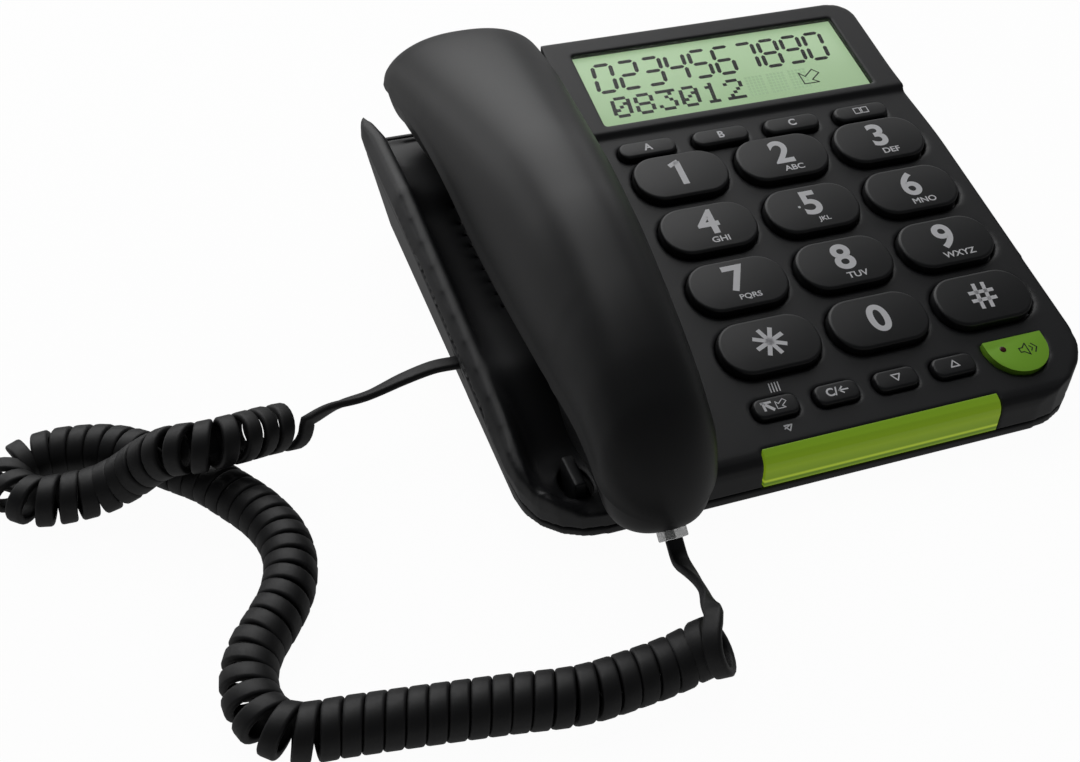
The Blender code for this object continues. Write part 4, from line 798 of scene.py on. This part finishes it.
redial_print = [
    strokes([[(1.2, -1.2), (-0.6, 0.6)]], 0.0011, -0.0026, 0.0001),
    strokes([bent_arrow], 0.0003, 0.0016, 0.0001, 0.00085),
    strokes([[(-2.4, 1.6), (0.6, 1.6)], [(-1.9, 1.6), (-1.9, -1.0)]], 0.0008, -0.0022)]
back_arrow = [[(3.6, 0.0), (0.6, 0.0)], [(1.9, 1.1), (0.6, 0.0), (1.9, -1.1)]]
clear_print = [flat_text("C/", 0.0030, -0.0018, 0.0002, 0.03), strokes(back_arrow, 0.0005, 0, 0.0002)]
turned_triangle = [(-px, -py) for px, py in triangle]
down_print = [strokes([turned_triangle], 0.00045, 0, 0.0002, 0.00115)]
up_print = [strokes([triangle], 0.00045, 0, 0.0002, 0.00115)]
for index, (node, sheets) in enumerate((
        ("redial_key", redial_print), ("clear_key", clear_print), ("down_key", down_print),
        ("up_key", up_print))):
    make_key(node, function_x + index * function_pitch, function_s, function_sizes, sheets)
speaker_print = [strokes(horn, 0.00042, 0.0024, 0.0012, 0.0013)]
make_key("speaker_key", speaker_x, speaker_s, speaker_sizes, speaker_print, lime_abs, dark_ink)

# The speaker key's small lamp, dark red when it is off
lamp_red = plastic("lamp_red", "#4a1a12", 0.25, 0.0004, 0.00001, 0.04)
dome = bmesh.new()
bmesh.ops.create_uvsphere(dome, u_segments=24, v_segments=12, radius=0.0011)
dome.transform(face @ Matrix.Translation((speaker_x - 0.0052, speaker_s + 0.0030, speaker_sizes[4]))
               @ Matrix.Diagonal((1, 1, 0.25, 1)))
new_piece("speaker_lamp", dome, lamp_red, "speaker_key")

# Small signs printed on the housing by the first function key
lay_print("housing_print", [
    strokes([[(x, -1.6), (x + 0.35, 1.6)] for x in (-1.5, -0.5, 0.5, 1.5)], 0.0004, -0.0430, -0.0512),
    strokes([turned_triangle, [(-1.4, -0.2), (0.9, 0.9)]], 0.0004, -0.0446, -0.0660)],
    0.00005, grey_ink, "base")

# Display
# A pale green liquid-crystal cell, lit by a painted glow in its own colour, on its metal-free module, under
# a thin clear pane that lies flush in the housing. Dark segments are on, and a row of them is faintly
# visible when off.

pane_clear = clear_plastic("pane_acrylic", "#101410", 0.06, 0.06)
# Strength of the painted glow that brightens the cell and its unlit segments evenly
display_painted_glow = 0.66


def cell_painted_glow(name, code, roughness, painted_glow_code):
    """A part of the cell with a painted glow: an even emission in its own colour that stands in for light.
    """
    material = plastic(name, code, roughness, 0.0008, 0.000004, 0.03)
    shader = material.node_tree.nodes["Principled BSDF"]
    shader.inputs["Emission Color"].default_value = linear(painted_glow_code)
    shader.inputs["Emission Strength"].default_value = display_painted_glow
    return material


cell_green = cell_painted_glow("cell_green", "#a9c59f", 0.38, "#a9c79c")
cell_dark = plastic("cell_segment", "#040805", 0.40, 0.0008, 0.000004, 0.03)
cell_ghost = cell_painted_glow("cell_segment_off", "#9ab591", 0.40, "#9ab890")
left, near_s, wide, deep = -0.0558, 0.0673, 0.1073, 0.0383


def display_plate(name, low, top, gap, edge, material, node):
    """A plate that fills the display's opening but for the gap, from one level of the face to another."""
    plate = bmesh.new()
    add_block(plate, (left + wide / 2, near_s + deep / 2, (top + low) / 2),
              (wide - gap, deep - gap, top - low))
    round_edges(plate, plate.edges[:], edge, 2)
    plate.transform(face)
    return shade_smooth(new_piece(name, plate, material, "base", node))


cell = display_plate("display_cell", -0.0075, 0.0, 0.0006, 0.0002, cell_green, "display_module")
pane = display_plate("display_pane", 0.0003, 0.0013, 0.0003, 0.00015, pane_clear, "display_window")

segments_on = {"0": "abcdef", "1": "bc", "2": "abged", "3": "abgcd", "4": "fgbc", "5": "afgcd",
               "6": "afgedc", "7": "abc", "8": "abcdefg", "9": "abcdfg"}
segment_places = {"a": (0.5, 1.0), "g": (0.5, 0.5), "d": (0.5, 0.0), "f": (0.0, 0.75), "b": (1.0, 0.75),
                  "e": (0.0, 0.25), "c": (1.0, 0.25)}
dot_rows = {"0": (14, 17, 19, 21, 25, 17, 14), "1": (4, 12, 4, 4, 4, 4, 14), "2": (14, 17, 1, 2, 4, 8, 31),
            "3": (31, 2, 4, 2, 1, 17, 14), "8": (14, 17, 17, 14, 17, 17, 14)}
slant = math.tan(math.radians(7.0))


def seven_segments(sign, x, s, width, height, thick):
    """The bars of one large digit, each with pointed ends."""
    bars = bmesh.new()
    for name in segments_on[sign]:
        across, up = segment_places[name]
        lying = name in "agd"
        length = (width if lying else height / 2) - thick * 0.8
        verts = add_block(bars, (0, 0, 0), (length if lying else thick, thick if lying else length, 0.00004))
        ends = {edge for vert in verts for edge in vert.link_edges
                if abs(edge.verts[0].co.z - edge.verts[1].co.z) > 0.00002}
        made = round_edges(bars, list(ends), thick * 0.42, 1)
        verts = list({vert for face_made in made["faces"] for vert in face_made.verts})
        bmesh.ops.translate(bars, verts=verts, vec=(across * width, up * height, 0))
    for vert in bars.verts:
        vert.co.x += x + vert.co.y * slant
        vert.co.y += s
    return bars


def dot_sign(sign, x, s, pitch, size):
    """One small sign of five by seven square dots; no sign means that all its dots are off."""
    dots = bmesh.new()
    for row in range(7):
        for column in range(5):
            if sign and not dot_rows[sign][row] >> (4 - column) & 1:
                continue
            y = (6 - row) * pitch
            bmesh.ops.create_grid(
                dots, x_segments=1, y_segments=1, size=size / 2,
                matrix=Matrix.Translation((x + column * pitch + y * slant, s + y, 0)))
    return dots


digit_x, digit_pitch, digit_s = -0.0512, 0.0096, 0.0856
digit_width, digit_height, segment = 0.0070, 0.0142, 0.0016
sign_x, sign_pitch, sign_s, dot_pitch = -0.0494, 0.0089, 0.0724, 0.0015
on = [seven_segments(sign, digit_x + index * digit_pitch, digit_s, digit_width, digit_height, segment)
      for index, sign in enumerate("0234567890")]
on += [dot_sign(sign, sign_x + index * sign_pitch, sign_s, dot_pitch, dot_pitch)
       for index, sign in enumerate("083012")]
on.append(strokes([bent_arrow], 0.0005, 0.0300, 0.0767, 0.0019))
lay_print("display_segments", on, 0.00004, cell_dark, "base")
off = [dot_sign(None, sign_x + index * sign_pitch, sign_s, dot_pitch, 0.00115) for index in (6, 7, 8)]
lay_print("display_segments_off", off, 0.00003, cell_ghost, "base")

# Light bar
# Translucent green acrylic, moulded, which a row of lamps behind it lights when the telephone rings. Its
# glow and its bright band along the lower rib are painted light.


def colours_along(tree, axis, start, end, stops, change="LINEAR"):
    """Colours along one axis of an object, from start to end, each at its share of the way."""
    place = add_node(tree, "ShaderNodeTexCoord")
    parts = add_node(tree, "ShaderNodeSeparateXYZ", links={0: place.outputs["Object"]})
    share = add_node(tree, "ShaderNodeMapRange", {"From Min": start, "From Max": end}, {
        "Value": parts.outputs[axis]})
    ramp = add_node(tree, "ShaderNodeValToRGB", links={"Fac": share.outputs["Result"]})
    ramp.color_ramp.interpolation = change
    marks = ramp.color_ramp.elements
    marks[0].color = linear(stops[0][1])
    marks[1].position = stops[-1][0]
    marks[1].color = linear(stops[-1][1])
    for at, code in stops[1:-1]:
        marks.new(at).color = linear(code)
    return ramp.outputs["Color"]


def acrylic_painted_glow():
    """Green acrylic with painted light: an emission in its own colours stands in for the light it carries,
    and a painted bright band runs along its lower rib, where it is thickest.
    """
    material, tree, shader = new_material("lime_acrylic_painted_glow", {
        "Emission Strength": 0.50, "Roughness": 0.22, "IOR": 1.49})
    # Painted light and shade along the bar's height: darker bands, and a painted bright band near its lower
    # rib
    colours = colours_along(tree, "Z", 0.0058, 0.0200, (
        (0.0, "#8fae22"), (0.10, "#5a7e1a"), (0.16, "#c3dc3c"), (0.22, "#7d9c20"), (0.45, "#8aa820"),
        (1.0, "#5d8420")))
    tree.links.new(colours, shader.inputs["Base Color"])
    tree.links.new(colours, shader.inputs["Emission Color"])
    return material


bar = melt("light_bar", "ring_light_bar", "base", acrylic_painted_glow(), 0.00035, passes=2)
thin_out(bar, 60000)

# Hook
# A small moulded fin of the housing's ABS, which slides up through the mouth cup's floor when the handset
# is lifted.

hook = melt("hook_fin", "hook_plunger", "hook", matte_abs, 0.0003, passes=60)
thin_out(hook, 12000)

# Feet and screws
# Four moulded rubber pads pressed into the underside, and zinc-plated pan-head screws with a cross recess.


def turned(profile, x, y, steps=48):
    """A body of revolution from its (radius, height) profile, which starts and ends on the axis."""
    body = bmesh.new()
    verts = [body.verts.new((radius, 0.0, height)) for radius, height in profile]
    edges = [body.edges.new(pair) for pair in zip(verts, verts[1:])]
    bmesh.ops.spin(body, geom=verts + edges, cent=(0, 0, 0), axis=(0, 0, 1), angle=2 * math.pi, steps=steps,
                   use_merge=True)
    bmesh.ops.remove_doubles(body, verts=body.verts, dist=1e-6)
    bmesh.ops.recalc_face_normals(body, faces=body.faces)
    body.transform(Matrix.Translation((x, y, 0)))
    return body


def centre_of(node):
    low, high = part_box(node)
    return (low + high) / 2, low, high


def cross_recess(arm, half, depth, x, y, z):
    """A closed cross, which cuts the driver's recess into a screw's head."""
    corners = ((arm, -half, 0), (arm, half, 0), (half, half, 0))
    recess = bmesh.new()
    plan = [recess.verts.new(Matrix.Rotation(turn * math.pi / 2 + 0.4, 3, "Z") @ Vector(corner))
            for turn in range(4) for corner in corners]
    raised = bmesh.ops.extrude_face_region(recess, geom=[recess.faces.new(plan)])["geom"]
    raised = [part for part in raised if isinstance(part, bmesh.types.BMVert)]
    bmesh.ops.translate(recess, verts=raised, vec=(0, 0, 2 * depth))
    bmesh.ops.recalc_face_normals(recess, faces=recess.faces)
    recess.transform(Matrix.Translation((x, y, z - depth)))
    return recess


def cut_away(piece, mesh):
    """Cuts a closed mesh out of a piece."""
    cutter = new_piece("cutter", mesh, None, None)
    modify(piece, "BOOLEAN", operation="DIFFERENCE", object=cutter)
    settle(piece)
    bpy.data.objects.remove(cutter)


foot_rubber = plastic("foot_rubber", "#1a1a1b", 0.75, 0.0006, 0.00005)
zinc = metal("zinc_plate", "#b9bcc0", 0.32)
for place in ("front_left", "front_right", "rear_left", "rear_right"):
    node = "foot_" + place
    middle, low, high = centre_of(node)
    radius = (high.x - low.x) / 2
    profile = [(0, 0.0006), (radius - 0.0024, 0.0006), (radius - 0.0020, 0.0), (radius - 0.0009, 0.0),
               (radius - 0.0002, 0.0003), (radius, 0.0010), (radius, high.z), (0, high.z)]
    foot = turned(profile, middle.x, middle.y)
    shade_smooth(new_piece(node + "_pad", foot, foot_rubber, "base", node), 35)
for place in ("front_left", "front_middle", "rear_left", "rear_right"):
    node = "base_screw_" + place
    middle, low, high = centre_of(node)
    radius = (high.x - low.x) / 2
    profile = [(0, low.z), (radius * 0.55, low.z), (radius * 0.85, low.z + 0.0003), (radius, low.z + 0.0009),
               (radius, low.z + 0.0016), (0.0014, low.z + 0.0016), (0.0014, high.z - 0.0008),
               (0.0008, high.z), (0, high.z)]
    screw = new_piece(node + "_body", turned(profile, middle.x, middle.y, 40), zinc, "base", node)
    cut_away(screw, cross_recess(radius * 0.58, 0.00035, 0.0009, middle.x, middle.y, low.z))
    shade_smooth(screw, 35)

# Battery bay
# The bay's cover is ABS like the housing and slides out over a grip of small grooves. Three dry cells lie
# behind it, in printed steel cans.

cover = melt("bay_cover", "battery_cover", "base", matte_abs, 0.0005, passes=2)
middle, low, high = centre_of("battery_cover")
grip = bmesh.new()
for index in range(6):
    add_block(grip, (middle.x, low.y + 0.0060 + index * 0.0014, low.z),
              (0.0150 - 0.0012 * index, 0.0006, 0.0008))
cut_away(cover, grip)
shade_smooth(thin_out(cover, 40000), 35)


def cell_print(name, start, end):
    """A cell's can: bare steel at its ends, and a printed film in two colours round the rest."""
    material = metal(name, "#c4c6c8", 0.28)
    tree = material.node_tree
    colours = colours_along(tree, "X", start, end, (
        (0.0, "#c4c6c8"), (0.03, "#22262b"), (0.72, "#b0783a"), (0.97, "#c4c6c8")), "CONSTANT")
    tree.links.new(colours, tree.nodes["Principled BSDF"].inputs["Base Color"])
    return material


for index in (1, 2, 3):
    node = "battery_%d" % index
    middle, low, high = centre_of(node)
    radius = (high.y - low.y) / 2
    can = turned([(0, low.x + 0.0006), (radius - 0.0009, low.x + 0.0006), (radius - 0.0005, low.x),
                  (radius, low.x + 0.0004), (radius, high.x - 0.0018), (radius - 0.0006, high.x - 0.0012),
                  (0.0028, high.x - 0.0010), (0.0027, high.x), (0, high.x)], 0, 0)
    can.transform(Matrix.Translation((0, middle.y, middle.z)) @ Matrix.Rotation(math.pi / 2, 4, "Y"))
    piece = new_piece(node + "_can", can, cell_print(node + "_film", low.x, high.x), "base", node)
    shade_smooth(piece, 30)

# Sockets
# Modular sockets of black nylon, moulded, each with a row of gilt spring wires; the line socket's wires are
# built here.

socket_nylon = plastic("socket_nylon", "#131314", 0.45, 0.0005, 0.00002)
middle, low, high = centre_of("line_socket")
wires = bmesh.new()
slope = Vector((0, -0.0075, -0.0022))
for index in range(6):
    start = Vector((middle.x + (index - 2.5) * contact_pitch, high.y - 0.0030, high.z - 0.0034))
    bmesh.ops.create_cone(
        wires, cap_ends=True, segments=12, radius1=0.0002, radius2=0.0002, depth=slope.length,
        matrix=Matrix.Translation(start + slope / 2) @ slope.to_track_quat("Z", "Y").to_matrix().to_4x4())
shade_smooth(new_piece("line_socket_wires", wires, gilt, "base"), 40)

# Pieces inside
# They are hidden when the telephone is closed, and keep the shapes of the part with the finish of each.


def board_lacquer():
    """Glass-fibre board with green solder lacquer, through which the copper tracks show as lighter lines."""
    material = plastic("board_lacquer", "#0f4a28", 0.35, 0.0010, 0.00001)
    tree = material.node_tree
    place = add_node(tree, "ShaderNodeTexCoord")
    tracks = add_node(tree, "ShaderNodeTexBrick", {
        "Color1": linear("#0f4a28"), "Color2": linear("#12552e"), "Mortar": linear("#2f7a45"),
        "Scale": 1.0, "Mortar Size": 0.00035, "Brick Width": 0.0120, "Row Height": 0.0032}, {
        "Vector": place.outputs["Object"]})
    tree.links.new(tracks.outputs["Color"], tree.nodes["Principled BSDF"].inputs["Base Color"])
    return material


mat_silicone = plastic("mat_silicone", "#6d7074", 0.60, 0.0008, 0.00002)
inside_black = plastic("inside_black", "#161617", 0.55, 0.0006, 0.00003)
drawn_steel = metal("drawn_steel", "#9a9da1", 0.38)
for node, material in (
        ("key_mat", mat_silicone), ("circuit_board", board_lacquer()), ("base_speaker", inside_black),
        ("hook_switch", inside_black), ("base_cord_socket", socket_nylon), ("line_socket", socket_nylon),
        ("handset_cord_socket", socket_nylon), ("receiver_capsule", inside_black),
        ("microphone_capsule", drawn_steel), ("handset_weight", drawn_steel)):
    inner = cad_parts[node]
    inner.data.materials.clear()
    inner.data.materials.append(material)
